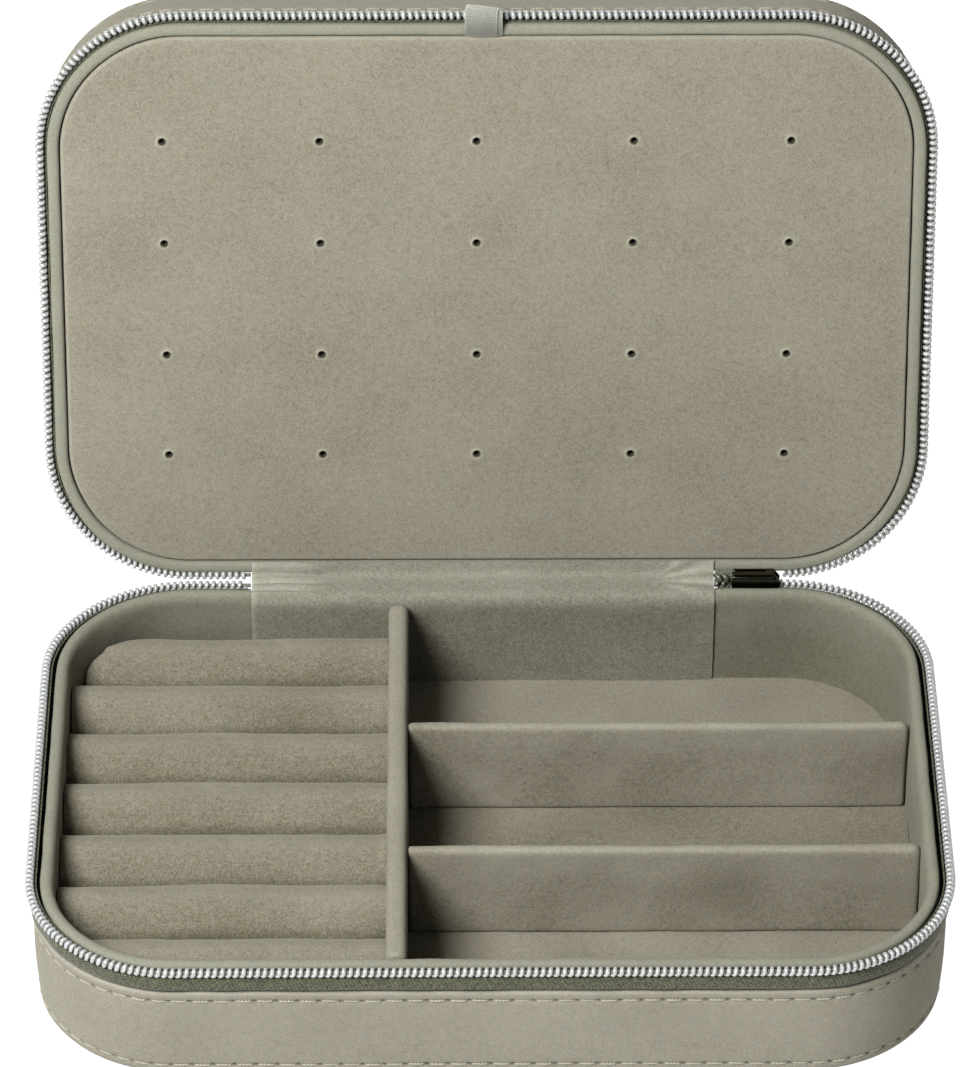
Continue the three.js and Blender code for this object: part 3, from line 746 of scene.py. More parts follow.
RING_FACE = ZIP + 0.82
lid_ring = liner(
    "lid_ring",
    [(3.9, LID_LINING_FACE), (3.9, ZIP + 8), (3.6, ZIP + 5.2)],
    [(2.9, RING_FACE + 2.1), (2.78, RING_FACE + 1.1), (2.85, RING_FACE + 0.55), (3.1, RING_FACE + 0.2),
     (3.6, RING_FACE + 0.06), (4.3, RING_FACE), (4.9, RING_FACE + 0.06), (5.3, RING_FACE + 0.24),
     (5.55, RING_FACE + 0.6), (5.6, RING_FACE + 1.2)],
    [(5.6, ZIP + 4), (5.6, ZIP + 6), (5.55, ZIP + 10), (5.5, LID_LINING_FACE)],
    # the tone paints a highlight along the ring's face
    None, lambda p: 0.3 * step_up(-p[:, 1], -ZIP - 1.8, -ZIP - 0.9))
settled_low(lid_ring)
ruffle(lid_ring, 0.12, 9, seed=7)
put(lid_ring, "lid", "lid_inner_wall", slot="velvet_light")


# ---- zip: tapes, coils and their cores
def zip_drop(y):
    """How much lower the coils mesh towards the back."""
    return ZIP_DROP * step_up(y, 25, 62)


def zip_line(y):
    """Height at which the two coils mesh."""
    return ZIP + ZIP_RISE - zip_drop(y)


HINGE_LEFT, HINGE_RIGHT = (float(e[0]) for e in span("hinge_lining"))
COIL_LEFT, COIL_RIGHT = HINGE_LEFT - 0.3, HINGE_RIGHT + 0.4
PITCH = 1.584
WIRE, WIRE_WIDE = 0.4, 1.28  # its radius through the tape, and how many times wider it is along the zip
COIL_WIDTH, COIL_HEIGHT, COIL_LOW = 2.1, 2.25, 2.1  # a coil's section, and how far from the mesh its root is
CORE_WIDTH, CORE_HEIGHT, CORE_LOW = 0.84, 1.0, 0.95  # the same of the cord, to its middle
TAPE_WIDTH, TAPE_THICK = 11.2, 0.3
TAPE_LEFT = LENGTH + COIL_LEFT


def tape(name, right, sign, place):
    """The tape comes up inside the wall and turns in under its coil, and the base's shows inside it."""
    line = [(3.25, -11.6), (3.25, -6.8), (2.9, -6.0), (1.5, -4.8), (1.05, -4.0)]
    if sign > 0:
        line += [(1.0, -1.0), (1.3, -0.78), (2.1, -0.74), (2.5, -0.4), (2.55, 0.55)]
    else:
        line += [(1.1, -3.95), (1.35, -3.75), (2.1, -3.7), (2.5, -3.4), (2.55, -2.2)]
    line = spaced(rounded(line, 2), 0.5)
    side = sideways(line) * TAPE_THICK / 2
    section = np.vstack([line + side, (line - side)[::-1]])
    s = np.linspace(right, TAPE_LEFT, round((TAPE_LEFT - right) / 1.5))
    sections = np.broadcast_to(section, (len(s),) + section.shape).copy()
    free = step_up(section[:, 1], -6.5, -4.5) * step_up(-section[:, 1], 0.9, 2.0)
    sections[..., 0] += 0.12 * np.sin(s / 3.1 + 1.4 * np.sin(s / 7.7))[:, None] * free[None]
    drop = zip_drop(outline_at(s)[0][:, 1])[:, None] * step_up(section[:, 1], -4.8, -3.2)[None]
    sections[..., 1] = ZIP + sign * sections[..., 1] - drop
    return swept(name, s, sections, tape_cloth, place=place, sharp=60)


def coil(name, start, end, sign, place, first_angle, material=coil_nylon):
    """A spiral of nylon wire round the tape's edge, with heads that face the other coil."""
    turns = int((end - start) / PITCH)
    per_turn, sides = 16, 6
    t = np.arange(turns * per_turn + 1) / per_turn
    phase = t * TURN + first_angle
    s = start + PITCH * (t + (np.cos(phase) - 0.125 * np.sin(2 * phase)) / TURN)
    half_w, half_h = COIL_WIDTH / 2 - WIRE, COIL_HEIGHT / 2 - WIRE
    c, d = np.cos(phase), np.sin(phase)
    square = 1.0 / np.maximum(np.power(np.abs(c) ** 3 + np.abs(d) ** 3, 1 / 3), 1e-6)
    inset = COIL_WIDTH / 2 + half_w * c * square
    height = -COIL_LOW + COIL_HEIGHT / 2 + half_h * d * square
    point, normal = outline_at(s)
    level = zip_line(point[:, 1])
    line = np.column_stack([point - normal * inset[:, None], level + sign * height])
    centre = np.column_stack([point - normal * COIL_WIDTH / 2, level + sign * (COIL_HEIGHT / 2 - COIL_LOW)])
    forward = np.gradient(line, axis=0)
    forward /= np.linalg.norm(forward, axis=1)[:, None]
    out = line - centre
    out -= forward * (out * forward).sum(1)[:, None]
    out /= np.linalg.norm(out, axis=1)[:, None]
    side = np.cross(forward, out)
    a = np.arange(sides) * TURN / sides
    thick = WIRE * (1 + 0.2 * np.maximum(0, d))[:, None, None]
    wide = WIRE_WIDE - 0.2 * np.maximum(0, d)[:, None, None]
    co = line[:, None] + thick * (out[:, None] * np.cos(a)[None, :, None]
                                  + wide * side[:, None] * np.sin(a)[None, :, None])
    v = np.arange(sides + 1) / sides
    return tube_grid(co, s, v, name, material, False, place=place, sharp=80)


def core(name, start, end, sign, place):
    """The cord that fills the coil."""
    a = np.arange(8) * TURN / 8
    s = np.linspace(start, end, round((end - start) / 1.6))
    sections = np.empty((len(s), len(a), 2))
    sections[..., 0] = COIL_WIDTH / 2 + CORE_WIDTH / 2 * np.cos(a)
    level = zip_line(outline_at(s)[0][:, 1])[:, None] - sign * CORE_LOW
    sections[..., 1] = level + CORE_HEIGHT / 2 * np.sin(a)
    return swept(name, s, sections, cord_nylon, place=place, sharp=80)


slider_low, slider_high = span("zip_slider")
CHAIN_END = slider_low[0] + 0.4  # left of this the two coils are meshed for good
LID_COIL_RIGHT = CHAIN_END + 8 * PITCH  # a whole number of turns, so that the coils mesh when closed

for body, sign, right, place in (("base", 1, CHAIN_END, None), ("lid", -1, LID_COIL_RIGHT, OPENED)):
    put(tape(f"{body}_tape", COIL_RIGHT, sign, place), body, f"{body}_zip_tape", slot="zip_tape")
    half = 0.0 if body == "base" else math.pi
    put(coil(f"{body}_coil", right, TAPE_LEFT, sign, place, half), body, f"{body}_zip_coil", slot="zip_coil")
    put(core(f"{body}_coil_core", right, TAPE_LEFT, sign, place), body, slot="zip_coil")

# the closed stretch of the zip takes the shaded nylon: painted shade
put(coil("zip_chain_lower", COIL_RIGHT, CHAIN_END, 1, None, 0.0, chain_nylon_shaded), "base", slot="zip_coil")
web = np.array([(0.3, ZIP - 1.5), (0.3, ZIP + 3.3), (0.45, ZIP + 3.4), (0.6, ZIP + 3.3), (0.6, ZIP - 1.5)])
put(swept("zip_chain_web", np.linspace(HINGE_RIGHT + 0.2, CHAIN_END + 0.3, 9), web, chain_nylon_shaded, sharp=60),
    "base", slot="zip_coil")
put(coil("zip_chain_upper", COIL_RIGHT, CHAIN_END, -1, None, math.pi, chain_nylon_shaded), "base", "zip_chain_start",
    slot="zip_coil")


# ---- ring rolls: velvet over foam bars, blown up by a cloth simulation
def copy_of(name, node):
    mesh = frame["nodes"][node].data.copy()
    mesh.name = name
    return linked(name, mesh)


def settle(obj):
    """Turns the modifiers' result into the mesh."""
    bpy.context.view_layer.update()
    result = bpy.data.meshes.new_from_object(obj.evaluated_get(bpy.context.evaluated_depsgraph_get()))
    obj.modifiers.clear()
    obj.data = result


def remeshed(obj, voxel, smoothing, shrink=0.0):
    """Gives a CAD solid an even mesh with rounded edges."""
    weld = obj.modifiers.new("Weld", "WELD")
    weld.merge_threshold = 0.00001
    mesh = obj.modifiers.new("Remesh", "REMESH")
    mesh.mode = "VOXEL"
    mesh.voxel_size = voxel * MM
    smooth = obj.modifiers.new("Smooth", "SMOOTH")
    smooth.factor = 0.5
    smooth.iterations = smoothing
    if shrink:
        inward = obj.modifiers.new("Inward", "DISPLACE")
        inward.mid_level = 0.0
        inward.strength = -shrink * MM
    settle(obj)
    return obj


def fitted(obj, low, high):
    """Stretches a mesh so that its box has these corners, in millimetres."""
    co = points_of(obj.data)
    first, last = co.min(0), co.max(0)
    move_points(obj.data, low + (co - first) / (last - first) * (np.array(high) - low))
    return obj


def cut_off(obj, x, way=1):
    """Cuts a mesh straight at x and closes it with a flat end, to the right, or to the left if way is -1."""
    with edited(obj.data) as bm:
        everything = bm.verts[:] + bm.edges[:] + bm.faces[:]
        cut = bmesh.ops.bisect_plane(bm, geom=everything, plane_co=(x * MM, 0, 0), plane_no=(way, 0, 0),
                                     clear_outer=True)["geom_cut"]
        bmesh.ops.holes_fill(bm, edges=[e for e in cut if isinstance(e, bmesh.types.BMEdge)], sides=0)


def soften(obj, x, times=14):
    """Rounds off the end of a mesh that lies left of x."""
    with edited(obj.data) as bm:
        verts = [v for v in bm.verts if v.co.x < x * MM and v.co.z > 8 * MM]
        for _ in range(times):
            bmesh.ops.smooth_vert(bm, verts=verts, factor=0.5,
                                  use_axis_x=True, use_axis_y=True, use_axis_z=True)


SIM_SCALE = 10


def inflated(obj, pressure, cap, frames=16):
    """Blows a cover up by cap at most, in a cloth simulation at a scale that suits the solver's defaults."""
    before = points_of(obj.data)
    obj.data.transform(Matrix.Scale(SIM_SCALE, 4))
    cloth = obj.modifiers.new("Cloth", "CLOTH")
    cloth.settings.use_pressure = True
    cloth.settings.uniform_pressure_force = pressure
    cloth.settings.effector_weights.gravity = 0
    cloth.point_cache.frame_start, cloth.point_cache.frame_end = 1, frames
    for f in range(1, frames + 1):
        scene.frame_set(f)
    settle(obj)
    move = points_of(obj.data) / SIM_SCALE - before
    length = np.linalg.norm(move, axis=1)
    move *= np.minimum(1, cap / np.maximum(length, 1e-9))[:, None]
    move_points(obj.data, before + move)
    scene.frame_set(1)
    return obj


def recovered(obj, name, material):
    """The finished piece that a shaped mesh becomes."""
    mesh = obj.data
    bpy.data.objects.remove(obj)
    return finished(name, mesh, material, sharp=70)


ROLL_SWELL = 0.9  # the crowns stand this far above the CAD rolls
ROLL_MESH, ROLL_SHRINK = 1.1, 0.35
ROLL_PRESSURE, ROLL_CAP = 6.0, 0.6

for i in range(1, 8):
    roll = copy_of(f"ring_pad_{i}", f"ring_roll_{i}")
    straight = 2 <= i <= 6  # the others follow the case's corner at their left end
    remeshed(roll, ROLL_MESH, 1 if straight else 8, shrink=ROLL_SHRINK)
    inflated(roll, ROLL_PRESSURE, ROLL_CAP)
    roll.modifiers.new("Subdivision", "SUBSURF").levels = 1
    settle(roll)
    low, high = span(f"ring_roll_{i}")
    cut_off(roll, high[0] - 1.4)
    if straight:
        cut_off(roll, low[0] + 1.2, -1)
        fitted(roll, low - (0.9, 0.1, 0), high + (0.15, 0.2, ROLL_SWELL))
    else:
        fitted(roll, low + (0.4, -0.1, 0), high + (0.15, -0.1, ROLL_SWELL))
        soften(roll, low[0] + 26)
    ruffle(roll, 0.45, 24, seed=20 + i, mask=lambda co: step_up(high[0] - co[:, 0], 0.1, 2))
    ruffle(roll, 0.10, 5, seed=40 + i)

    # the rolls' tone evens out their shading with painted light and shade
    def painted_roll_light(co):
        """Painted highlight over the back of the crown and painted shade down the front, with some random
        tone.
        """
        t = (co[:, 1] - low[1]) / (high[1] - low[1])
        return (0.42 * step_up(t, 0.15, 0.6) + 0.45 * step_up(t, 0.6, 0.78) - 0.4
                - 0.5 * step_up(-t, -0.12, 0.0) + 0.12 * soft_noise(co, 17, 30 + i))

    set_tone(roll, painted_roll_light)
    roll = recovered(roll, f"ring_pad_{i}", plush)
    put(roll, "base", f"ring_roll_{i}")


# ---- dividers: velvet over boards
def divider(name, node, voxel, smoothing, grow, tone_rule, seed):
    """A board in its cover, which reaches the floor and is larger than the CAD board by grow."""
    board = copy_of(name + "_board", node)
    remeshed(board, voxel, smoothing)
    low, high = span(node)
    fitted(board, low - (0.3, 0, 0.35), high + grow)
    ruffle(board, 0.25, 22, seed=seed)
    ruffle(board, 0.10, 5, seed=seed + 1)
    obj = recovered(board, name, plush)
    set_tone(obj, tone_rule)
    put(obj, "base", node)


# the main divider's tone is a painted highlight towards its top
divider("divider_main", "main_divider", 0.8, 3, (0, 0.7, 1.0), lambda co: 0.3 * step_up(co[:, 2], 22, 29), 60)
for place_name in ("rear", "front"):
    # painted highlight over the upper face and along the top edge, random mottling, and a painted shadow at
    # the end by the main divider
    divider(f"divider_{place_name}", f"cross_divider_{place_name}", 0.6, 7, (1.3, 0, 0.2),
            lambda co: 0.28 * step_up(co[:, 2] + 4 * soft_noise(co, 11, 9), 19, 28)
            + 0.35 * soft_noise(co, 15, 12) + 0.3 * step_up(co[:, 2], 29.0, 29.4)
            - 0.08 - 0.4 * step_up(-co[:, 0], 7, 17), 64)


# ---- fabric hinge
def opened(v, w):
    """The (y, z) of a point of the lid, v along it from the hinge and w into it from the zip plane."""
    a = math.radians(-OPEN_DEG)
    return HINGE_Y - v * math.cos(a) + w * math.sin(a), ZIP + v * math.sin(a) + w * math.cos(a)


def hinge_cloth(name, line, thickness, left, right, wrinkle, material, tone_rule):
    """A sheet that follows a line of (y, z), with soft edges, and its flat width and length in metres."""
    line = spaced(rounded(line, 3), 0.8)
    side = sideways(line)
    d = along(line)
    x = np.concatenate([[left, left + 0.15], np.linspace(left + 0.5, right - 0.5, round(right - left)),
                        [right - 0.15, right]])
    edge = np.minimum(1, np.minimum(x - left, right - x) + 0.35)
    lift = wrinkle(x[:, None], d[None])
    half = thickness / 2 * edge[:, None]
    top = line[None] + side[None] * (lift + half)[..., None]
    low = line[None] + side[None] * (lift - half)[..., None]
    section = np.concatenate([top, low[:, ::-1]], axis=1)
    co = np.empty(section.shape[:2] + (3,))
    co[..., 0] = x[:, None]
    co[..., 1:] = section
    tone = tone_rule(x[:, None], d[None]) * np.ones((len(x), 1))
    tone = np.concatenate([tone, tone[:, ::-1]], axis=1).ravel()
    v = np.concatenate([d, [d[-1] + thickness], d[-1] + thickness + d[1:], [2 * d[-1] + 2 * thickness]])
    return tube_grid(co, x, v, name, material, False, tone=tone, sharp=60), (right - left) * MM, d[-1] * MM


def bend_with(cloth, node):
    """Bakes a cloth's placement into its mesh and hides the CAD part that it stands for."""
    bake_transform(cloth)
    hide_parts(node)


LINER_FACE = HINGE_Y - LINER_INSET
lining_line = [opened(5.0, 0.45), opened(3.4, 0.4), opened(2.0, 0.45), (HINGE_Y - 0.4, ZIP + 1.15),
               (HINGE_Y - 2.2, ZIP + 1.0), (HINGE_Y - 4.2, RIM + 0.22), (LINER_FACE + 0.9, RIM + 0.12),
               (LINER_FACE + 0.0, RIM - 0.5), (LINER_FACE - 0.5, RIM - 1.9), (LINER_FACE - 0.6, RIM - 3.4),
               *((LINER_FACE - 0.6 + float(lean(BACK_Y, z)), z) for z in (24, 18, 12, 5.1))]


FAN_X, FAN_D = 39.0, 5.5  # the point the right-hand creases spread from


def fan_angle(x, d):
    """The phase of the right-hand creases."""
    return np.arctan2(d - FAN_D, np.maximum(x - FAN_X, 0.05)) * 17 + 0.6


def ridge(x, d):
    """The left-hand creases, from -1 to 1."""
    return np.sin(d * TURN / 2.7 + 0.9 * np.sin(x / 5.0) + 0.12 * x)


def lining_wrinkle(x, d):
    bend = step_up(d, 0.5, 2.5) * step_up(-d, -13.5, -9.0)
    left = step_up(-x, 36, 42) * bend
    fan = 0.32 * np.sin(fan_angle(x, d)) * step_up(x, FAN_X + 1.5, FAN_X + 7) * bend
    hang = step_up(d, 12, 16)
    waves = 0.16 * np.sin(x / 7.3 + 0.8 * np.sin(d / 6.0)) * hang + 0.10 * np.sin(x / 3.1 + d / 4.0) * bend
    return 0.36 * ridge(x, d) * left + fan + waves + 0.05 * hang


# Paler over the top: a painted highlight. Paler patches at both ends, with painted highlights and shade along
# their creases. Paler cut edges. Darker lower down and beside the main divider: painted shade and a painted
# shadow.
def lining_tone(x, d):
    upper = step_up(-d, -12.0, -7.5)
    left = step_up(-x, 37, 46) * upper * (0.35 + 0.5 * np.maximum(0, ridge(x, d)))
    right = step_up(x, 40, 46) * upper * (0.55 + 0.6 * np.sin(fan_angle(x, d)))
    cut = 0.45 * bell(x, HINGE_LEFT, 0.8) + 0.4 * bell(x, HINGE_RIGHT, 0.6)
    shaded = step_up(d, 10, 16) * (0.25 + 0.35 * step_up(-x, 6, 17) * step_up(x, -19, -18))
    return 0.12 * upper + 0.9 * left + 0.8 * right + cut - shaded


lining, *lining_flat = hinge_cloth("hinge_lining_cloth", lining_line, 0.5, HINGE_LEFT, HINGE_RIGHT,
                                   lining_wrinkle, plush_loose, lining_tone)
ruffle(lining, 0.10, 4, seed=71)
bend_with(lining, "hinge_lining")

WALL_BACK, SPINE_OFF = HINGE_Y - WALL_TOP, 0.75
spine_line = [(WALL_BACK - 0.55 + SPINE_OFF, 12), (WALL_BACK + SPINE_OFF, ZIP - WALL_FOLD),
              (WALL_BACK + SPINE_OFF + 0.8, ZIP - 2.8), (WALL_BACK + SPINE_OFF + 2.2, ZIP - 1.2),
              opened(WALL_TOP - SPINE_OFF, WALL_FOLD), opened(WALL_TOP + 0.6 - SPINE_OFF, 14)]
SPINE_BEND = 17  # how far along the spine its bend is
# the spine's tone paints a highlight along its bend
spine, *spine_flat = hinge_cloth(
    "hinge_spine_cloth", spine_line, 0.8, HINGE_LEFT, HINGE_RIGHT,
    lambda x, d: 0.12 * np.sin(x / 6.1 + d / 3.0) * bell(d, SPINE_BEND, 5), shell,
    lambda x, d: 0.25 * bell(d, SPINE_BEND, 4) + 0 * x)
ruffle(spine, 0.08, 5, seed=72)
bend_with(spine,
          "hinge_spine")

CLOTH_WALL, CLOTH_FACE = 6.2, PANEL_FACE + PAD_THICK + BOARD_GAP + BOARD_THICK + 0.5
CLOTH_HALF = 70
inner_line = [opened(14, CLOTH_FACE), opened(CLOTH_WALL + 1.6, CLOTH_FACE),
              opened(CLOTH_WALL + 0.4, CLOTH_FACE + 0.4), opened(CLOTH_WALL, CLOTH_FACE + 1.6),
              opened(CLOTH_WALL, 12)]
inner, *inner_flat = hinge_cloth("panel_hinge_cloth", inner_line, 0.4, -CLOTH_HALF, CLOTH_HALF,
                                 lambda x, d: 0 * (x + d), plush, lambda x, d: 0 * (x + d))
bend_with(inner,
          "earring_panel_cloth_hinge")

# ---- ribbon pull tab: a doubled loop from the panel's upper edge over the coil
tab_low, tab_high = span("pull_tab")
TAB_SHIFT = 1.2  # the under layer shows beside the upper one
TAB_LEFT, TAB_RIGHT = tab_low[0], tab_high[0] - TAB_SHIFT
loop_line = spaced(rounded([
    (139.2, 1.55), (139.7, 0.9), (140.3, 0.2), (141.2, -0.35), (143.5, -0.95), (146.2, -1.15), (147.5, -1.1),
    (148.0, -0.8), (147.5, -0.5), (145.5, -0.55), (143.5, -0.5), (141.5, 0.0), (140.4, 0.5), (139.9, 1.1),
    (139.6, 1.6)]), 0.35)
tab_d = along(loop_line)
tab_side = sideways(loop_line)
under = step_up(tab_d, tab_d[-1] * 0.42, tab_d[-1] * 0.62)
tab_share = np.linspace(0, 1, 17)
tab_x = TAB_LEFT + (TAB_RIGHT - TAB_LEFT) * tab_share[:, None] + TAB_SHIFT * under[None]
slant = 0.9 * (0.5 - tab_share)[:, None] * step_up(loop_line[:, 0], 143, 148)[None]
curl = 0.10 * np.cos(tab_share * TURN)[:, None] * np.ones(len(tab_d))[None]
thick = 0.11 * np.minimum(1, np.minimum(tab_share, 1 - tab_share) * 12 + 0.4)[:, None]
layers = []
for flip in (1, -1):
    vw = loop_line[None] + tab_side[None] * (flip * thick + curl * 0.6)[..., None]
    vw = vw + np.stack([slant, np.zeros_like(slant)], -1)
    layers.append(np.stack([tab_x, HINGE_Y - vw[..., 0], ZIP + vw[..., 1]], -1))
tab_co = np.concatenate([layers[0], layers[1][:, ::-1]], axis=1)
tab_v = np.concatenate([tab_d, tab_d[-1] + 0.2 + tab_d, [2 * tab_d[-1] + 0.4]])
# painted highlight towards the folded end and painted shade at the root under the panel
tab_tone = 1.1 * step_up(loop_line[:, 0], 139.5, 147.5)[None] - 0.5
# paler along both edges
tab_tone = tab_tone + 0.7 * (np.abs(tab_share - 0.5) > 0.49)[:, None]
tab = tube_grid(tab_co, TAB_LEFT + (TAB_RIGHT - TAB_LEFT) * tab_share, tab_v, "ribbon_tab", ribbon_satin,
                False, place=OPENED, sharp=60,
                tone=np.concatenate([tab_tone, tab_tone[:, ::-1]], axis=1).ravel())
put(tab, "tab", "pull_tab", slot="ribbon")


# ---- slider, link and puller
def prism_mesh(bm, outline, axis, ends):
    """Adds a bar whose outline, in the two other axes, is carried along one axis between two ends."""
    loops = [[bm.verts.new([c * MM for c in (*p[:axis], end, *p[axis:])]) for p in outline] for end in ends]
    bm.faces.new(loops[0])
    bm.faces.new(loops[1][::-1])
    for i in range(len(outline)):
        j = (i + 1) % len(outline)
        bm.faces.new((loops[0][i], loops[1][i], loops[1][j], loops[0][j]))


def arc(middle, radius, start, end, count):
    """Points of a circle in a plane, from one angle in degrees to another."""
    return [(middle[0] + radius * math.cos(a), middle[1] + radius * math.sin(a))
            for a in np.radians(np.linspace(start, end, count))]


def wire(name, line, radius, across, closed=False):
    """A round wire along a flat line of points, where across is the direction that the line has none of."""
    p = np.asarray(line, float)
    forward = np.roll(p, -1, 0) - np.roll(p, 1, 0) if closed else np.gradient(p, axis=0)
    forward /= np.linalg.norm(forward, axis=1)[:, None]
    side = np.cross(forward, across)[:, None]
    a = np.arange(12)[:, None] * TURN / 12
    co = p[:, None] + radius * (side * np.cos(a) + np.array(across) * np.sin(a))
    return tube_grid(co, along(p, closed), np.arange(13) / 12, name, gunmetal, closed, sharp=30)


def metal_piece(name, build, bevel):
    """A solid of gunmetal with rounded edges."""
    bm = bmesh.new()
    build(bm)
    bmesh.ops.recalc_face_normals(bm, faces=bm.faces)
    mesh = bpy.data.meshes.new(name)
    bm.to_mesh(mesh)
    bm.free()
    obj = linked(name, mesh)
    soft = obj.modifiers.new("Bevel", "BEVEL")
    soft.limit_method, soft.angle_limit = "ANGLE", math.radians(35)
    soft.width, soft.segments = bevel * MM, 3
    settle(obj)
    mesh = obj.data
    bpy.data.objects.remove(obj)
    return finished(name, mesh, gunmetal, sharp=50)


SLIDER_LEFT, SLIDER_RIGHT = slider_low[0], slider_high[0]
INNER_BACK, OUTER_FRONT, PLATE = HINGE_Y - 2.15, HINGE_Y + 0.3, 0.5
SLIDER_FOOT, INNER_TOP, OUTER_TOP = slider_low[2] + 0.8, slider_low[2] + 6.5, slider_high[2] + 0.6
BAIL_X, BAIL_Y, BAIL_Z = (60.6, 68.6), OUTER_FRONT + PLATE + 1.7, 29.7
BAIL_RADIUS, BAIL_WIRE = 0.9, 0.4


def build_slider(bm):
    """Two plates with a blunt nose, the bridge between them and the inner plate's bent lip."""
    nose = 1.5

    def shape(top):
        middle, corner = (SLIDER_FOOT + top) / 2, 0.5
        return [(SLIDER_LEFT, SLIDER_FOOT + corner), (SLIDER_LEFT + corner, SLIDER_FOOT),
                (SLIDER_RIGHT - nose, SLIDER_FOOT), (SLIDER_RIGHT, middle - 0.6),
                (SLIDER_RIGHT, middle + 0.6), (SLIDER_RIGHT - nose, top), (SLIDER_LEFT + corner, top),
                (SLIDER_LEFT, top - corner)]

    def lip(y, z):
        return INNER_BACK + y, INNER_TOP + z

    prism_mesh(bm, shape(INNER_TOP), 1, (INNER_BACK - PLATE, INNER_BACK))
    prism_mesh(bm, shape(OUTER_TOP), 1, (OUTER_FRONT, OUTER_FRONT + PLATE))
    x0, x1, z0, z1 = SLIDER_RIGHT - 3.4, SLIDER_RIGHT - 1.4, zip_line(HINGE_Y) - 0.15, OUTER_TOP - 0.1
    prism_mesh(bm, [(x0, z0), (x1, z0), (x1, z1), (x0, z1)], 1, (INNER_BACK - 0.1, OUTER_FRONT + 0.1))
    prism_mesh(bm, [lip(-0.1, -1.5), lip(-0.68, -1.3), lip(-0.68, -0.95), lip(-0.2, -0.45), lip(1.0, -0.1),
                    lip(1.0, -0.9)], 0, (SLIDER_LEFT + 0.1, SLIDER_RIGHT - nose - 0.1))


slider = metal_piece("zip_slider_body", build_slider, 0.12)
put(slider, "slider", "zip_slider", slot="zip_metal")
bow_root, bow_bend = OUTER_FRONT + PLATE - 0.2, BAIL_Y - BAIL_RADIUS
bow = [(x, y, BAIL_Z) for x, y in (
    (BAIL_X[0], bow_root), *arc((BAIL_X[0] + BAIL_RADIUS, bow_bend), BAIL_RADIUS, 180, 90, 6),
    *arc((BAIL_X[1] - BAIL_RADIUS, bow_bend), BAIL_RADIUS, 90, 0, 6), (BAIL_X[1], bow_root))]
put(wire("zip_slider_bow", bow, BAIL_WIRE, (0, 0, 1)), "slider", slot="zip_metal")

link_low, link_high = span("zip_pull_link")
link_x, link_y = (link_low[0] + link_high[0]) / 2, (link_low[1] + link_high[1]) / 2
LINK_WIRE = 0.34
LINK_HALF = (link_high[1] - link_low[1]) / 2 - LINK_WIRE - 0.01
link_end = LINK_WIRE + 0.02 + LINK_HALF
link_top, link_bottom = link_high[2] - link_end, link_low[2] + link_end
link_sides = np.linspace(link_top, link_bottom, 5)[1:-1]
link_line = [(link_x, y, z) for y, z in (
    *arc((link_y, link_top), LINK_HALF, 0, 180, 15), *((link_y - LINK_HALF, z) for z in link_sides),
    *arc((link_y, link_bottom), LINK_HALF, 180, 360, 15),
    *((link_y + LINK_HALF, z) for z in link_sides[::-1]))]
put(wire("zip_link", link_line, LINK_WIRE, (1, 0, 0), closed=True),
    "pull_link", "zip_pull_link", slot="zip_metal")

pull_low, pull_high = span("zip_puller")
PULLER_TOP, PULLER_HOLE = 2.3, 1.28  # radii of its top and of the hole there
DISH_TOP, DISH_END, DISH_DEPTH = 1.35, 1.95, 0.18  # radii of the dish's ends, and how deep it is


def build_puller(bm):
    """A tapered tongue with a hole at the top and a shallow dished middle on both sides."""
    narrow, hole = PULLER_TOP, PULLER_HOLE
    middle, wide = (pull_low[0] + pull_high[0]) / 2, (pull_high[0] - pull_low[0]) / 2
    hole_z, end_z = pull_high[2] - narrow, pull_low[2] + wide
    flank = [(narrow + (wide - narrow) * t, hole_z + (end_z - hole_z) * t)
             for t in np.linspace(0, 1, 8)[1:-1]]
    outer = np.array([*arc((0, hole_z), narrow, 0, 180, 17), *((-x, z) for x, z in flank),
                      *arc((0, end_z), wide, 180, 360, 17), *flank[::-1]])
    ring = arc((0, hole_z), hole, 0, 337.5, 16)
    dish_top = hole_z - 3.6 - DISH_TOP
    dish = np.array([*arc((0, dish_top), DISH_TOP, 0, 180, 9), *arc((0, end_z), DISH_END, 180, 360, 9)])
    centre = dish.mean(0)
    inner = centre + (dish - centre) * 0.86
    flat, faces = triangulated([outer, ring, dish, inner], (), 1, 1e-7)
    faces = [f for f in faces if np.hypot(*(flat[list(f)].mean(0) - [0, hole_z])) > hole * 0.9]
    sunk = np.array([any(np.hypot(*(q - p)) < 1e-4 for p in inner) for q in flat])
    sides = []
    for depth, way in ((pull_low[1], 1), (pull_high[1], -1)):
        sides.append([bm.verts.new(((middle + x) * MM, (depth + way * DISH_DEPTH * s) * MM, z * MM))
                      for (x, z), s in zip(flat, sunk)])
        for f in faces:
            bm.faces.new([sides[-1][i] for i in (f if way == 1 else f[::-1])])
    for a, b in open_edges(faces):
        bm.faces.new((sides[0][b], sides[0][a], sides[1][a], sides[1][b]))


put(metal_piece("zip_pull_tongue", build_puller, 0.1), "puller", "zip_puller", slot="zip_metal")

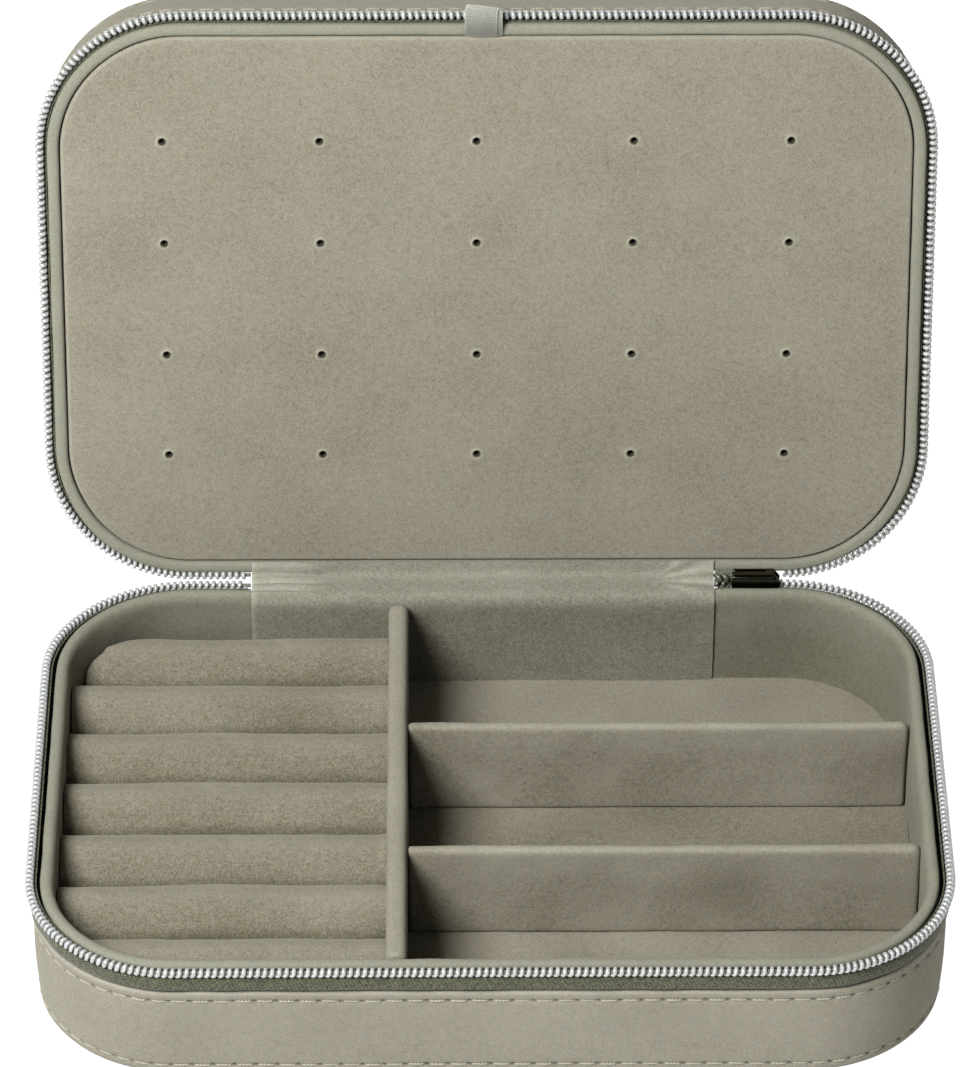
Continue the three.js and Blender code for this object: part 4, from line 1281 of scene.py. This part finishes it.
# ---- floor, light and camera
FLOOR_GLOW, SKY = 1.0, 0.09
floor_paint = Nodes("floor_paint")
floor_paint.colour(floor_paint.ramp(floor_paint.noise(400, 2.0),
                                    ((0.3, (0.13, 0.13, 0.13)), (0.7, (0.15, 0.15, 0.15)))))
floor_paint.set(Roughness=0.8, Specular_IOR_Level=0.2, Emission_Strength=FLOOR_GLOW)
floor_paint.bsdf.inputs["Emission Color"].default_value = (1.0, 1.0, 1.0, 1.0)
floor_mesh = bpy.data.meshes.new("floor")
floor_mesh.from_pydata([(x, y, -0.0003) for x, y in ((-4, -4), (4, -4), (4, 4), (-4, 4))], [], [(0, 1, 2, 3)])
floor_mesh.materials.append(floor_paint.material)
floor = linked("floor", floor_mesh)

world = bpy.data.worlds.new("studio")
scene.world = world
world.use_nodes = True
world.node_tree.nodes["Background"].inputs["Color"].default_value = (1.0, 1.0, 1.0, 1.0)
world.node_tree.nodes["Background"].inputs["Strength"].default_value = SKY
scene.view_settings.view_transform = "Standard"


def softbox(name, towards, distance, size, power):
    """A round area light in a direction from the case, facing it."""
    light = bpy.data.lights.new(name, "AREA")
    light.shape, light.size, light.energy = "DISK", size, power
    obj = linked(name, light)
    direction = Vector(towards).normalized()
    obj.location = Vector((0, 0.03, 0.05)) + direction * distance
    obj.rotation_mode = "QUATERNION"
    obj.rotation_quaternion = direction.to_track_quat("Z", "Y")


softbox("key", (-0.62, -0.78, 1.0), 1.1, 0.5, 24.0)
softbox("fill", (0.9, -0.9, 0.8), 1.4, 0.9, 1.5)
softbox("back", (0.1, 1.0, 0.55), 1.5, 0.9, 7.5)

LENS, SENSOR = 236.8, 36.0
CAMERA_AT = (-10.84, -1147.73, 957.96)
ELEVATION, YAW, ROLL = math.radians(36.79), math.radians(0.49), math.radians(0.134)
level = math.cos(ELEVATION)
forward = Vector((math.sin(YAW) * level, math.cos(YAW) * level, -math.sin(ELEVATION)))
right = forward.cross(Vector((0, 0, 1))).normalized()
upward = right.cross(forward)
right, upward = (right * math.cos(ROLL) + upward * math.sin(ROLL),
                 upward * math.cos(ROLL) - right * math.sin(ROLL))
lens = bpy.data.cameras.new("camera")
lens.sensor_fit, lens.sensor_width, lens.lens = "HORIZONTAL", SENSOR, LENS
lens.clip_start, lens.clip_end = 0.05, 20.0
camera = linked("camera", lens)
turned = Matrix((right, upward, -forward)).transposed().to_4x4()
camera.matrix_world = Matrix.Translation(Vector(CAMERA_AT) * MM) @ turned
scene.camera = camera
